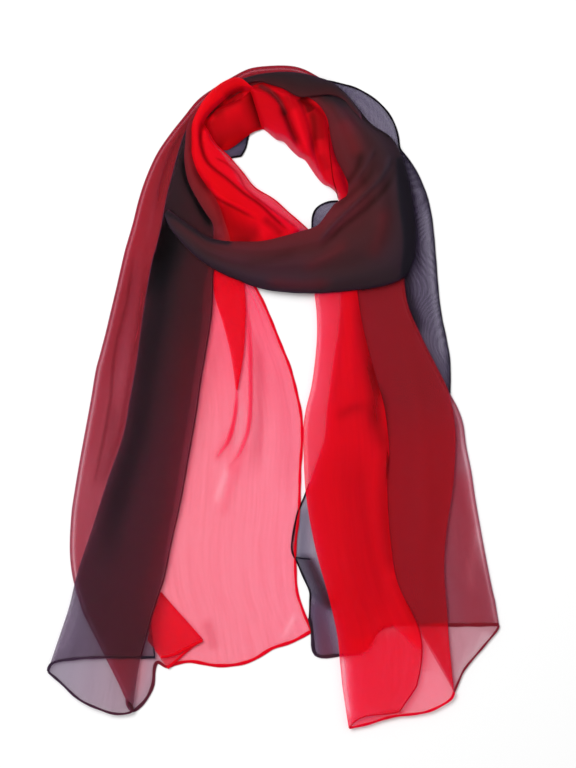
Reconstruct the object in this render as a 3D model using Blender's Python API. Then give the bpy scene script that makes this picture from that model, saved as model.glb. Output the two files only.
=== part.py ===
"""Chiffon scarf, laid flat in one turn as round a neck, with both ends hanging down.

One oblong panel is folded lengthwise, turned once and laid on a table. Every stretch of it
that shows is a wall of cloth, lofted through cross-sections: the flat stretches are folded
sheets whose layers lie one pitch apart, the turned stretches are arched strips whose edges
tuck under. What the turn hides is two rounded solids. Units are metres, +Z up.

The tables give places on a laying-out plan in millimetres, which runs right (u) and down (v).
"""
import math
from typing import NamedTuple

import bmesh
import bpy
from mathutils import Vector

SCARF = "chiffon_scarf"
MM = 0.001

PLAN_MIDDLE = (273.4, 396.5)  # the plan's middle, which becomes the part's origin
WALL = 1.0                    # thickness of one layer of cloth
GAP = 0.3                     # room between two layers
PITCH = WALL + GAP            # height from one layer to the next
FIRST_LAYER = WALL / 2        # height of the lowest layer's middle, so that it rests on the table
TUCK = 8.0                    # how far an arched strip's edge is turned under
TUCK_SHARE = 0.3              # the same on a narrow strip, as a share of its width
LEAST_TUCK = 1.2              # the same at least, in radii of the small fold along the edge
ROUNDNESS = 2.6               # exponent of an arched strip's cross-section, 2 being an ellipse
RIPPLE = 0.16                 # how far a long soft fold stands up on a strip, as a share of its arch
RIPPLE_FROM, RIPPLE_FULL = 14.0, 32.0  # width of strip where soft folds begin, and are full
EDGE_DRAW = 0.7               # how far the sides across a strip crowd towards its edges
BILLOW = 1.8                  # how far the top layer of a tail stands off the layer below
BILLOW_FROM, BILLOW_FULL = 300.0, 380.0  # v where the billow begins, and where it is full
BILLOW_WAVE = 170.0           # length of the slow waves along a tail
BILLOW_SWING = 0.3            # how much those waves take from the billow or add to it, as a share
SEAM_V = 250.2                # v where the left tail meets the turn

RUN_STEPS = 5                 # sides across one flat layer
FOLD_STEPS = 4                # sides round a folded edge
ARCH_STEPS = 8                # sides across the top of a plain arched strip
RIPPLE_STEPS = 4              # sides more for each long soft fold
HEM_STEPS = 3                 # sections between a tail's last straight section and its hem


class Colour(NamedTuple):
    """Linear base colours of the dyed chiffon, from one selvage to the other."""
    red: float
    green: float
    blue: float


BRIGHT_RED = Colour(0.72, 0.008, 0.020)
PINK_RED = Colour(0.80, 0.120, 0.190)
DEEP_RED = Colour(0.38, 0.006, 0.012)
MAROON = Colour(0.12, 0.012, 0.018)
PLUM = Colour(0.040, 0.016, 0.021)
DARK_GREY = Colour(0.085, 0.078, 0.105)
ROUGHNESS = 0.62
SHARP_FROM = math.radians(50)


class Arch(NamedTuple):
    """One section of an arched strip: its two edges on the plan, their heights and the crown."""
    inner: tuple
    outer: tuple
    inner_z: float
    outer_z: float
    crown: float


def level(number):
    """Height of the middle of a layer, counted from 0 at the table."""
    return FIRST_LAYER + number * PITCH


def row(v, *us):
    """A straight section: a point of the plan for each fold line and edge at one v."""
    return tuple((u, v) for u in us)


# ---------------------------------------------------------------- left tail
# The cloth runs left from the red selvage along the table, turns at the outer fold, comes back
# to the tucked fold, runs left again on top to the left fold, and ends in the black selvage.

#   v,  red selvage, outer fold, tucked edge
LEFT_BACK_ROWS = (
    row(SEAM_V + GAP, 237, 125.4, 210.0),
    row(290, 257, 116.0, 211.5),
    row(330, 275, 106.5, 209.0),
    row(370, 291, 96.0, 203.0),
    row(410, 300, 89.0, 197.0),
    row(455, 301.5, 81.0, 189.0),
    row(500, 298.5, 73.5, 181.0),
    row(545, 292.5, 70.0, 171.0),
    row(575, 293, 71.5, 163.5),
    row(600, 297, 79.0, 157.0),
)
LEFT_BACK_HEMS = (
    ((311, 631), (283, 644.5), (255, 658), (225, 664), (192, 661), (168, 668), (156, 661),
     (154.5, 676), (148, 700), (137, 712), (128, 709)),
    ((128, 709), (134, 703)),
)

#   v,  tucked fold, left fold, black selvage
LEFT_FRONT_ROWS = (
    row(SEAM_V + GAP, 210.0, 155.5, 200),
    row(290, 211.5, 147.0, 203),
    row(330, 209.0, 141.0, 200),
    row(370, 203.0, 134.5, 194),
    row(410, 197.0, 128.0, 188),
    row(455, 189.0, 115.0, 180),
    row(500, 181.0, 101.5, 172),
    row(545, 171.0, 87.0, 162),
    row(575, 163.5, 77.5, 155),
    row(600, 157.0, 71.0, 149),
)
LEFT_FRONT_HEMS = (
    ((134, 703), (128, 713.5), (105, 710), (80, 699), (60, 681), (48, 671)),
    ((48, 671), (54, 662), (80, 658), (105, 657), (148, 659)),
)

# A pleat folded into the hem's corner: left edge, right fold.
HEM_PLEAT_ROWS = (
    ((160.5, 600), (166, 599)),
    ((155.5, 622), (184, 619)),
    ((151.5, 642), (197, 634)),
    ((159, 655), (201, 638)),
    ((168, 667), (203, 641)),
)

# A tapering pleat that comes down from under the turn: left edge, right fold.
INNER_PLEAT_ROWS = (
    ((215.5, 266), (238, 266)),
    ((214.5, 295), (245.5, 295)),
    ((224, 325), (245.5, 325)),
    ((231, 355), (243.5, 355)),
    ((235, 386), (239.5, 386)),
)

# ---------------------------------------------------------------- right tail
# The cloth runs right from the black selvage along the table, turns at the outer fold and comes
# back to a pleat; past the pleat it runs left to the left fold and ends in the red selvage on top.

#   v,  black selvage, outer fold, edge in the pleat
RIGHT_BACK_ROWS = (
    row(266, 342, 402.0, 370),
    row(300, 341, 406.0, 372),
    row(335, 338.5, 420.0, 376),
    row(365, 333.5, 435.0, 382),
    row(392, 329.5, 448.0, 388),
    row(424, 326, 463.0, 394),
    row(460, 317.5, 468.5, 397),
    row(500, 304, 475.0, 400),
    row(540, 295, 482.0, 404),
    row(575, 302, 489.0, 408),
    row(600, 310, 495.0, 411.5),
)
RIGHT_BACK_HEMS = (
    ((316, 655), (339, 655), (362, 651), (378, 631), (395, 624), (449, 624), (498.8, 624)),
    ((498.8, 624), (481, 649), (465, 667), (456, 688)),
)

#   v,  edge in the pleat, pleat fold, left fold, red selvage
RIGHT_FRONT_ROWS = (
    row(266, 371, 403.0, 313.0, 356),
    row(300, 373, 407.0, 315.0, 358.5),
    row(335, 377, 420.5, 317.0, 365),
    row(365, 383, 435.5, 314.5, 372.5),
    row(392, 389, 448.5, 310.0, 380),
    row(424, 395, 454.5, 303.5, 386.5),
    row(460, 398, 455.0, 303.5, 388),
    row(500, 401, 451.0, 306.5, 388),
    row(540, 405, 445.5, 313.5, 390),
    row(575, 409, 444.5, 322.0, 396),
    row(600, 413, 446.0, 328.5, 405),
    row(625, 421, 448.0, 335.0, 416),
    row(650, 432, 450.0, 339.0, 421),
    row(675, 445, 452.5, 340.5, 418),
)
RIGHT_FRONT_HEMS = (
    ((446.5, 682.5), (454, 690)),
    ((454, 690), (451, 698), (441, 705), (423.5, 712), (392, 716), (369, 723), (348.6, 727.5)),
    ((348.6, 727.5), (358, 718), (369, 714), (390, 712), (398, 712)),
)

# ---------------------------------------------------------------- turn, lower part
# The left tail goes on up the left side and over the top, its folds now bending round.

#   edge on the table, outer fold, edge above
TURN_BACK_ROWS = (
    row(SEAM_V, 205, 125.4, 203),
    ((203, 224), (132.8, 224), (202, 224)),
    ((200, 200), (138.8, 200), (199, 200)),
    ((197, 178), (146.5, 177), (196, 178)),
    ((195, 155), (157, 154), (194, 155)),
    ((198, 136), (171, 133), (197, 136)),
    ((204, 122), (184, 116), (203, 122)),
    ((214, 110), (197.5, 100), (213, 110)),
    ((227, 99), (214.5, 89), (226, 99)),
    ((241, 91), (232, 77.5), (241, 90)),
    ((255, 84), (249, 69), (255, 83)),
    ((269, 81), (267, 66.3), (269, 80)),
    ((285, 81), (287, 65.7), (285, 80)),
    ((300, 84), (305, 69.8), (300, 83)),
    ((317, 91), (323.5, 80), (317, 90.5)),
)
#   edge, upper outer fold, edge, and how far the row is lifted
TURN_FRONT_ROWS = (
    row(SEAM_V, 203, 155.5, 201) + ((0, 0),),
    ((202, 225), (161.5, 225), (200, 225), (0, 0)),
    ((199, 200), (167, 200), (197, 200), (0, 0)),
    ((195.5, 178), (173, 178), (194, 178), (0, 0)),
    ((194, 155), (179.5, 154), (192.5, 155), (0, 0)),
    ((197, 136), (185, 134), (196, 136), (0, 0)),
    ((203, 122), (193.5, 119), (202, 122), (0, 0)),
    ((213, 110), (205.5, 103), (212, 110), (0, 0)),
    ((226, 99), (220, 90.5), (225, 99), (0, 0)),
    ((241, 91), (237, 81.5), (240, 91), (0, 0)),
    ((255, 88), (252.5, 76.5), (255, 87), (0.3, 0)),
    ((269, 87), (268.5, 74), (269, 86), (0.7, 0)),
    ((285, 89), (286, 73.5), (285, 88), (1.1, 0)),
    ((300, 94), (303, 75.5), (300, 93), (1.5, 0)),
    ((316, 98), (321, 82), (316, 97), (1.6, 0)),
)
# The single layer that stands out past the turn at the top right: black selvage, inner edge.
SHOULDER_ROWS = (
    ((324.1, 80.5), (317.7, 91.3)),
    ((345, 85), (338, 104)),
    ((365, 93), (352, 117)),
    ((383, 107), (364, 131)),
    ((395, 126), (374, 143)),
    ((399.5, 147), (381, 153)),
    ((402.3, 152.6), (387.8, 158.6)),
)
# The doubled edge that stands out on the right, down to the tail: edge, outer fold, edge.
OUTER_EDGE_ROWS = (
    ((388, 159), (402.5, 153), (389, 159)),
    ((393, 184), (418, 175), (394, 184)),
    ((396, 206), (429, 204), (397, 206)),
    ((398, 236), (433.5, 236), (399, 236)),
    ((402, 262), (436, 264), (403, 262)),
    ((408.5, 291), (438.5, 292), (409, 291)),
    ((415, 315), (441.5, 315), (416, 315)),
    ((426.5, 340), (446, 338), (427.5, 340)),
    ((438, 361.5), (449.5, 360), (439, 361.5)),
    ((446, 379), (450.3, 378), (446.5, 379)),
)
# Two ends of the dark edge that show inside the neck opening.
UPPER_TIP_ROWS = (
    ((223, 139), (249, 128)),
    ((226, 148), (249, 138)),
    ((230, 156), (242, 155.5)),
)
LOWER_TIP_ROWS = (
    ((337, 201.5), (346, 207)),
    ((323, 204), (335, 214)),
    ((314, 214), (327, 222)),
    ((312.5, 229), (321, 233)),
)

# ---------------------------------------------------------------- turn, arched strips
# The band that crosses in front: down the right side and across to the left.
BAND_ROWS = (
    Arch((306, 96), (345, 93), 0.6, 1.9, 0.0),
    Arch((318, 104), (357, 107), 0.6, 1.9, 2.0),
    Arch((327, 118), (371, 124), 0.6, 1.9, 5.0),
    Arch((331, 140), (391, 138), 0.6, 2.3, 8.5),
    Arch((336, 158), (402, 158), 0.6, 3.2, 10.0),
    Arch((343, 172), (409, 183), 1.2, 3.2, 11.0),
    Arch((348, 184), (413.5, 207), 3.6, 3.2, 11.0),
    Arch((347, 195), (416, 236), 5.6, 3.4, 10.5),
    Arch((341, 200), (413, 262), 6.5, 5.0, 9.5),
    Arch((334, 205), (401, 279), 7.2, 7.1, 9.0),
    Arch((327, 214), (378, 287), 7.2, 7.1, 9.0),
    Arch((317, 226), (350, 290.5), 7.2, 7.1, 9.0),
    Arch((302, 231.5), (321, 293), 7.2, 7.0, 9.0),
    Arch((284, 236.5), (292, 292.5), 7.2, 6.8, 9.0),
    Arch((262, 241.5), (262, 288.5), 7.0, 6.4, 8.5),
    Arch((240, 242), (237, 279.5), 6.6, 6.2, 7.5),
    Arch((222, 241), (215, 269.5), 6.2, 6.0, 6.5),
    Arch((207, 236.5), (196, 256.5), 6.0, 5.9, 5.5),
    Arch((191, 226), (180, 240), 5.9, 5.8, 4.0),
    Arch((177, 216), (170, 227.5), 5.8, 5.7, 2.5),
    Arch((168.5, 209.5), (164.8, 215), 5.7, 5.7, 1.0),
)
# The dark roll at the left, between the turn's layers and the red roll.
DARK_ROLL_ROWS = (
    Arch((191.5, 124.5), (187.0, 123.5), 5.7, 5.7, 0.4),
    Arch((190.6, 138), (185.8, 138), 5.7, 5.7, 0.9),
    Arch((190.8, 153), (184.5, 152), 5.7, 5.7, 1.8),
    Arch((195.4, 173), (187, 173), 5.7, 5.7, 2.6),
    Arch((207.5, 190.5), (192, 190), 5.7, 5.7, 3.0),
    Arch((216.5, 205.5), (199.5, 207), 5.7, 5.7, 2.6),
    Arch((221.3, 221), (208.5, 223), 5.7, 5.7, 1.2),
    Arch((224, 236), (213.5, 237), 4.9, 5.7, 0.0),
)
# The red roll: from the apex round the left of the neck opening and down under the band.
RED_ROLL_ROWS = (
    Arch((247, 87), (245.5, 80), 5.8, 5.8, 1.0),
    Arch((238, 90.5), (233.5, 79.2), 5.8, 5.8, 2.2),
    Arch((228, 97), (220.5, 85.5), 5.8, 5.8, 3.6),
    Arch((216, 107), (208.8, 96), 5.8, 5.8, 4.4),
    Arch((206.5, 117), (199.5, 109), 5.8, 5.8, 4.8),
    Arch((201.5, 128), (193, 124), 5.8, 5.8, 5.0),
    Arch((202, 141), (192, 140), 5.8, 5.8, 5.4),
    Arch((206, 157), (193, 157), 5.8, 5.8, 6.0),
    Arch((217, 171), (198.8, 174), 5.8, 5.8, 6.6),
    Arch((238, 187.5), (209.5, 189), 5.8, 5.8, 6.6),
    Arch((260, 204), (218.5, 204), 5.4, 5.8, 5.4),
    Arch((277, 219), (223.5, 219.5), 4.6, 5.4, 3.2),
    Arch((289, 234), (227, 235), 3.6, 4.0, 1.0),
)
# The inner red roll, along the neck opening.
INNER_ROLL_ROWS = (
    Arch((208.5, 133), (203.5, 129), 4.0, 5.0, 1.0),
    Arch((214, 143), (203.6, 142.5), 3.0, 5.0, 2.5),
    Arch((230, 158), (208.4, 158), 0.9, 4.6, 3.4),
    Arch((242, 172), (220, 172.5), 0.7, 4.2, 4.2),
    Arch((255, 188), (240, 188), 0.6, 2.6, 5.0),
    Arch((273, 199), (262.5, 205), 0.6, 1.6, 4.4),
    Arch((290, 214), (280, 220), 0.6, 1.2, 3.8),
    Arch((305, 227.5), (291, 236), 0.6, 1.0, 3.0),
)
# The collar seen inside the neck opening, upper left.
COLLAR_ROWS = (
    Arch((217.2, 144.9), (207.7, 123.9), 1.6, 5.9, 1.4),
    Arch((229, 148), (217, 110.5), 1.6, 5.9, 1.2),
    Arch((241, 140.5), (231, 104.5), 1.6, 5.9, 2.0),
    Arch((252, 132.5), (243, 98), 1.6, 5.9, 2.0),
    Arch((261.5, 128), (250, 91.5), 1.6, 5.9, 1.4),
)
# Three folds fan out from the apex down the right of the neck opening.
UPPER_FOLD_ROWS = (
    Arch((250.5, 88), (256.5, 90), 6.2, 6.2, 1.2),
    Arch((253.5, 97), (267.5, 94), 5.2, 6.2, 2.6),
    Arch((258, 112), (281, 105.4), 2.6, 4.0, 4.6),
    Arch((264, 127), (287.6, 119.6), 0.7, 2.6, 5.0),
    Arch((274, 137), (293.2, 133.6), 0.6, 1.6, 4.4),
    Arch((287, 144), (299.9, 146.5), 0.6, 1.0, 3.4),
    Arch((297, 153.5), (304.8, 156.7), 0.6, 0.6, 2.0),
)
MIDDLE_FOLD_ROWS = (
    Arch((274, 90), (286, 94), 5.4, 5.4, 1.4),
    Arch((280.8, 100), (299, 102), 3.4, 3.4, 3.6),
    Arch((288, 116), (307, 120), 2.0, 2.0, 5.4),
    Arch((294, 132), (311.5, 137), 1.2, 1.2, 6.0),
    Arch((303, 150), (315, 155), 0.6, 0.8, 5.2),
    Arch((312, 166), (319.5, 170), 0.6, 0.6, 3.4),
    Arch((319, 179), (323.5, 183), 0.6, 0.6, 1.6),
)
LOWER_FOLD_ROWS = (
    Arch((303.5, 104), (314, 107), 2.2, 2.2, 1.6),
    Arch((308.5, 120), (325.5, 120), 1.4, 1.4, 4.0),
    Arch((313, 138), (329.5, 140), 0.9, 0.9, 5.4),
    Arch((317, 155), (334.3, 159), 0.7, 0.7, 6.0),
    Arch((321.5, 170), (341.2, 173), 0.6, 0.6, 5.6),
    Arch((326.5, 184.5), (345.5, 186), 0.6, 0.6, 3.4),
    Arch((336.5, 193), (350, 197), 1.0, 1.0, 1.4),
    Arch((341.5, 206), (358, 208), 1.9, 1.9, 0.6),
)

# ---------------------------------------------------------------- hidden layers
# Rounded solids that stand for the layers under the turn: two edges, base, and height.
BAND_CORE_ROWS = (
    Arch((342, 134), (366, 136), 0.0, 0.0, 6.5),
    Arch((347, 152), (379, 154), 0.0, 0.0, 9.5),
    Arch((355, 170), (385, 174), 0.0, 0.0, 11.0),
    Arch((364, 190), (388, 198), 0.0, 0.0, 12.0),
    Arch((364, 210), (390, 232), 0.0, 0.0, 13.0),
    Arch((357, 218), (376, 257), 0.0, 0.0, 13.5),
    Arch((343, 224), (356, 261), 0.0, 0.0, 13.5),
    Arch((329, 236), (334, 263), 0.0, 0.0, 13.5),
    Arch((309, 243), (311, 263), 0.0, 0.0, 13.5),
    Arch((294, 247), (295, 263), 0.0, 0.0, 13.0),
    Arch((276, 249), (276, 263), 0.0, 0.0, 12.5),
    Arch((254, 250), (254, 262), 0.0, 0.0, 10.5),
)
LEFT_CORE_ROWS = (
    Arch((216, 171), (199.5, 174), 0.0, 0.0, 4.4),
    Arch((235, 189), (202, 194), 0.0, 0.0, 4.6),
    Arch((254, 207), (206, 211), 0.0, 0.0, 4.2),
    Arch((266, 221), (207, 226), 0.0, 0.0, 3.2),
)


def place(u, v, z):
    """A plan point at height z, as a point of the part."""
    return Vector(((u - PLAN_MIDDLE[0]) * MM, (PLAN_MIDDLE[1] - v) * MM, z * MM))


def flatten(item):
    """All numbers of a nested row, in order."""
    if isinstance(item, (int, float)):
        return [float(item)]
    return [number for part in item for number in flatten(part)]


def rebuild(shape, numbers):
    """A row nested as shape, filled from an iterator of numbers."""
    if isinstance(shape, (int, float)):
        return next(numbers)
    parts = [rebuild(part, numbers) for part in shape]
    return type(shape)(*parts) if hasattr(shape, "_fields") else tuple(parts)


def glide(rows, per_row):
    """Rows resampled along a smooth curve through every given row."""
    flat = [flatten(r) for r in rows]
    last = len(flat) - 1
    count = round(last * per_row)
    result = []
    for step in range(count + 1):
        place_on = step * last / count
        k = min(int(place_on), last - 1)
        t = place_on - k
        before, start, end, after = (flat[max(0, min(last, k + i))] for i in (-1, 0, 1, 2))
        numbers = []
        for a, b, c, d in zip(before, start, end, after):
            slope_b, slope_c = (c - a) / 2, (d - b) / 2
            numbers.append(
                b * (1 + 2 * t) * (1 - t) ** 2 + slope_b * t * (1 - t) ** 2
                + c * (3 - 2 * t) * t ** 2 - slope_c * (1 - t) * t ** 2
            )
        result.append(rebuild(rows[0], iter(numbers)))
    return result


def along(points, share):
    """The point at a share of the length of an open outline on the plan."""
    lengths = [math.dist(a, b) for a, b in zip(points, points[1:])]
    rest = share * sum(lengths)
    for a, b, length in zip(points, points[1:], lengths):
        if rest <= length or b is points[-1]:
            t = min(1.0, rest / length)
            return (a[0] + (b[0] - a[0]) * t, a[1] + (b[1] - a[1]) * t)
        rest -= length
    return points[-1]


def between(a, b, t):
    """The plan point at share t from a to b."""
    return (a[0] + (b[0] - a[0]) * t, a[1] + (b[1] - a[1]) * t)


def loft(rings, cap_pairs):
    """A closed mesh through rings of equal length; cap_pairs says if ends close as a wall does."""
    shell = bmesh.new()
    loops = [[shell.verts.new(point) for point in ring] for ring in rings]
    size = len(loops[0])
    for lower, upper in zip(loops, loops[1:]):
        for i in range(size):
            j = (i + 1) % size
            shell.faces.new((lower[i], lower[j], upper[j], upper[i]))
    for loop in (loops[0], loops[-1]):
        if cap_pairs:
            for i in range(size // 2 - 1):
                shell.faces.new((loop[i], loop[i + 1], loop[size - 2 - i], loop[size - 1 - i]))
        else:
            shell.faces.new(loop)
    bmesh.ops.recalc_face_normals(shell, faces=shell.faces)
    return shell


def finish(name, shell, colour):
    """Stores a mesh as one named object of the scarf, with its own material."""
    mesh = bpy.data.meshes.new(name)
    shell.to_mesh(mesh)
    shell.free()
    mesh.shade_smooth()
    mesh.set_sharp_from_angle(angle=SHARP_FROM)
    material = bpy.data.materials.new(name)
    material.use_nodes = True
    surface = material.node_tree.nodes["Principled BSDF"]
    surface.inputs["Base Color"].default_value = (*colour, 1.0)
    surface.inputs["Roughness"].default_value = ROUGHNESS
    surface.inputs["Metallic"].default_value = 0.0
    mesh.materials.append(material)
    piece = bpy.data.objects.new(name, mesh)
    bpy.data.collections[SCARF].objects.link(piece)
    return piece


def wall_ring(line):
    """The ring round one section of a wall, from its middle line's points and normals."""
    half = WALL / 2 * MM
    near = [point + normal * half for point, normal in line]
    far = [point - normal * half for point, normal in line]
    return near + far[::-1]


def billow_at(v, share):
    """How far the top layer stands up at a share of its width, growing down the tail."""
    grown = min(1.0, max(0.0, (v - BILLOW_FROM) / (BILLOW_FULL - BILLOW_FROM)))
    wave = 1 - BILLOW_SWING + BILLOW_SWING * math.sin(2 * math.pi * v / BILLOW_WAVE)
    return BILLOW * grown * wave * math.sin(math.pi * share) ** 2


def folded_line(runs, heights, billow_run):
    """Middle line of a folded sheet's section.

    runs holds the plan points of each layer in the cloth's order, heights the layers' heights.
    Neighbouring layers are joined by half a turn whose outermost point is the fold line.
    """
    line = []
    side = -1.0 if len(heights) == 1 or heights[1] > heights[0] else 1.0
    for number, run in enumerate(runs):
        points = list(run)
        turns = {}
        for end, other in ((0, number - 1), (-1, number + 1)):
            if not 0 <= other < len(runs):
                continue
            stop = Vector(points[end])
            inward = Vector(points[1 if end == 0 else -2])
            returning = Vector(runs[other][-2 if end == 0 else 1])
            outward = ((stop - inward).normalized() + (stop - returning).normalized()).normalized()
            radius = abs(heights[other] - heights[number]) / 2
            turns[end] = (stop - outward * radius, outward, radius)
        for end, (centre, _, _) in turns.items():
            points[end] = tuple(centre)
        for i, (u, v) in enumerate(points):
            lift = billow_at(v, i / (len(points) - 1)) if number == billow_run else 0.0
            line.append((place(u, v, heights[number] + lift), Vector((0, 0, side))))
        if -1 in turns:
            centre, outward, radius = turns[-1]
            rise = 1.0 if heights[number + 1] > heights[number] else -1.0
            for step in range(1, FOLD_STEPS):
                angle = math.pi * step / FOLD_STEPS
                reach, climb = math.sin(angle), -math.cos(angle) * rise
                spot = centre + outward * (radius * reach)
                middle = (heights[number] + heights[number + 1]) / 2
                normal = Vector((outward.x * reach, -outward.y * reach, climb))
                line.append((place(spot.x, spot.y, middle + radius * climb), normal * -side * rise))
            side = -side
    return line


def folded_sheet(name, rows, layers, colour, hems=(), billow_run=None):
    """A sheet folded along its length: a layer between each two columns of its rows.

    A row may end in a pair whose first number lifts all its layers. hems are the cut end's
    outlines, one for each layer.
    """
    sections = []
    for station in rows:
        stops = station[:len(layers) + 1]
        lift = station[len(layers) + 1][0] if len(station) > len(layers) + 1 else 0.0
        runs = [[between(a, b, i / RUN_STEPS) for i in range(RUN_STEPS + 1)]
                for a, b in zip(stops, stops[1:])]
        sections.append((runs, [level(n) + lift for n in layers]))
    if hems:
        steps = max(RUN_STEPS, *(len(hem) for hem in hems))
        stops = rows[-1]
        sections = [([[between(run[0], run[-1], i / steps) for i in range(steps + 1)]
                      for run in runs], heights) for runs, heights in sections]
        for step in range(1, HEM_STEPS + 1):
            blend = step / HEM_STEPS
            runs = [[between(between(a, b, i / steps), along(hem, i / steps), blend)
                     for i in range(steps + 1)]
                    for a, b, hem in zip(stops, stops[1:], hems)]
            sections.append((runs, [level(n) for n in layers]))
    rings = [wall_ring(folded_line(runs, heights, billow_run)) for runs, heights in sections]
    return finish(name, loft(rings, cap_pairs=True), colour)


def single_sheet(name, rows, layer, colour):
    """One flat layer between two edges."""
    return folded_sheet(name, rows, (layer,), colour)


def swell(share):
    """Height of a rounded cross-section at a share of its width, from 0 at an edge to 1."""
    return (1 - abs(1 - 2 * share) ** ROUNDNESS) ** (1 / ROUNDNESS)


def spread(share):
    """A share of the way across, drawn towards both edges, where the cloth turns."""
    drawn = (1 - math.cos(math.pi * share)) / 2
    return share + (drawn - share) * EDGE_DRAW


def arched_profile(width, arch, ripples):
    """The middle line of an arched strip's section, as places across and up."""
    steps = ARCH_STEPS + ripples * RIPPLE_STEPS
    radius = PITCH / 2
    corner = radius * (1 - math.sqrt(0.5))
    ripple = RIPPLE * min(1.0, max(0.0, (width - RIPPLE_FROM) / (RIPPLE_FULL - RIPPLE_FROM)))
    tuck = max(min(TUCK, TUCK_SHARE * width), LEAST_TUCK * radius)
    under = [(tuck, 0.0), (radius, 0.0), (corner, corner)]
    places = [0.0, corner]
    places += [radius + (width - 2 * radius) * spread(i / steps) for i in range(steps + 1)]
    places += [width - corner, width]
    profile = [(across, arch.inner_z + up) for across, up in under]
    for across in places:
        share = across / width
        base = arch.inner_z + (arch.outer_z - arch.inner_z) * share
        from_edge = min(1.0, min(across, width - across) / radius)
        folded = radius * math.sqrt(1 - (1 - from_edge) ** 2)
        rippled = 1 + ripple * (1 - math.cos(2 * math.pi * ripples * share)) / 2
        arched = (arch.crown + radius) * swell(share) * rippled
        profile.append((across, base + radius + max(folded, arched)))
    profile += [(width - across, arch.outer_z + up) for across, up in reversed(under)]
    return profile


def arched_strip(name, rows, colour, per_row=1.0, ripples=0):
    """A strip that arches from one edge to the other, with both edges turned under.

    ripples is how many long soft folds run along it.
    """
    rings = []
    for arch in glide(rows, per_row):
        start, end = Vector(arch.inner), Vector(arch.outer)
        across = (end - start).normalized()
        profile = arched_profile((end - start).length, arch, ripples)
        line = []
        for i, (reach, z) in enumerate(profile):
            before, after = profile[max(0, i - 1)], profile[min(len(profile) - 1, i + 1)]
            run, rise = after[0] - before[0], after[1] - before[1]
            size = math.hypot(run, rise)
            normal = Vector((-rise * across.x / size, rise * across.y / size, run / size))
            spot = start + across * reach
            line.append((place(spot.x, spot.y, z), normal))
        rings.append(wall_ring(line))
    return finish(name, loft(rings, cap_pairs=True), colour)


def rounded_core(name, rows, colour):
    """A rounded solid with a flat underside: the layers that the turn hides."""
    rings = []
    for arch in rows:
        ring = []
        for step in range(ARCH_STEPS + 3):
            share = spread(step / (ARCH_STEPS + 2))
            u, v = between(arch.inner, arch.outer, share)
            ring.append(place(u, v, arch.inner_z + arch.crown * swell(share)))
        rings.append(ring)
    return finish(name, loft(rings, cap_pairs=False), colour)


def clear_scene():
    """Removes what the open file holds and makes the scarf's collection."""
    for old in list(bpy.data.objects):
        bpy.data.objects.remove(old)
    bpy.context.scene.collection.children.link(bpy.data.collections.new(SCARF))


def build_tails():
    """The two hanging ends, as folded sheets that lie on the table."""
    folded_sheet("left_tail_back", LEFT_BACK_ROWS, (0, 1), PINK_RED, LEFT_BACK_HEMS)
    folded_sheet("left_tail_front", LEFT_FRONT_ROWS, (3, 2), PLUM, LEFT_FRONT_HEMS, billow_run=0)
    folded_sheet("hem_pleat", tuple((a, b, a) for a, b in HEM_PLEAT_ROWS), (1, 2), DEEP_RED)
    folded_sheet("inner_pleat", tuple((a, b, a) for a, b in INNER_PLEAT_ROWS), (1, 2), BRIGHT_RED)
    folded_sheet("right_tail_back", RIGHT_BACK_ROWS, (0, 1), MAROON, RIGHT_BACK_HEMS)
    folded_sheet("right_tail_front", RIGHT_FRONT_ROWS, (2, 3, 4), BRIGHT_RED, RIGHT_FRONT_HEMS,
                 billow_run=2)


def build_turn():
    """The turn round the neck opening: layers on the table, then the arched strips."""
    folded_sheet("turn_back", TURN_BACK_ROWS, (0, 1), DEEP_RED)
    folded_sheet("turn_front", TURN_FRONT_ROWS, (2, 3), PLUM)
    folded_sheet("outer_edge", OUTER_EDGE_ROWS, (0, 1), DARK_GREY)
    single_sheet("shoulder", SHOULDER_ROWS, 0, DARK_GREY)
    single_sheet("upper_tip", UPPER_TIP_ROWS, 0, DARK_GREY)
    single_sheet("lower_tip", LOWER_TIP_ROWS, 0, DARK_GREY)
    arched_strip("front_band", BAND_ROWS, PLUM, per_row=1.4, ripples=3)
    arched_strip("dark_roll", DARK_ROLL_ROWS, MAROON)
    arched_strip("red_roll", RED_ROLL_ROWS, BRIGHT_RED, per_row=1.5, ripples=2)
    arched_strip("inner_roll", INNER_ROLL_ROWS, BRIGHT_RED)
    arched_strip("collar", COLLAR_ROWS, DEEP_RED)
    arched_strip("upper_fold", UPPER_FOLD_ROWS, BRIGHT_RED)
    arched_strip("middle_fold", MIDDLE_FOLD_ROWS, BRIGHT_RED)
    arched_strip("lower_fold", LOWER_FOLD_ROWS, BRIGHT_RED)
    rounded_core("band_core", BAND_CORE_ROWS, PLUM)
    rounded_core("left_core", LEFT_CORE_ROWS, DEEP_RED)


clear_scene()
build_tails()
build_turn()
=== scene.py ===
"""Chiffon scarf laid flat in one turn, as round a neck: its cloth, rolled hems and hidden folds.

One oblong panel, dyed from bright red along one selvage to near black along the other, is folded
lengthwise, turned once and laid on a table. Each stretch of it that shows is a thin shell on the
form of its solid. Places are given on a laying-out plan in millimetres, which runs right (u) and
down (v); heights above the table are in millimetres too.
"""
import logging
import math
from dataclasses import dataclass, replace
from enum import Enum

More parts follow.
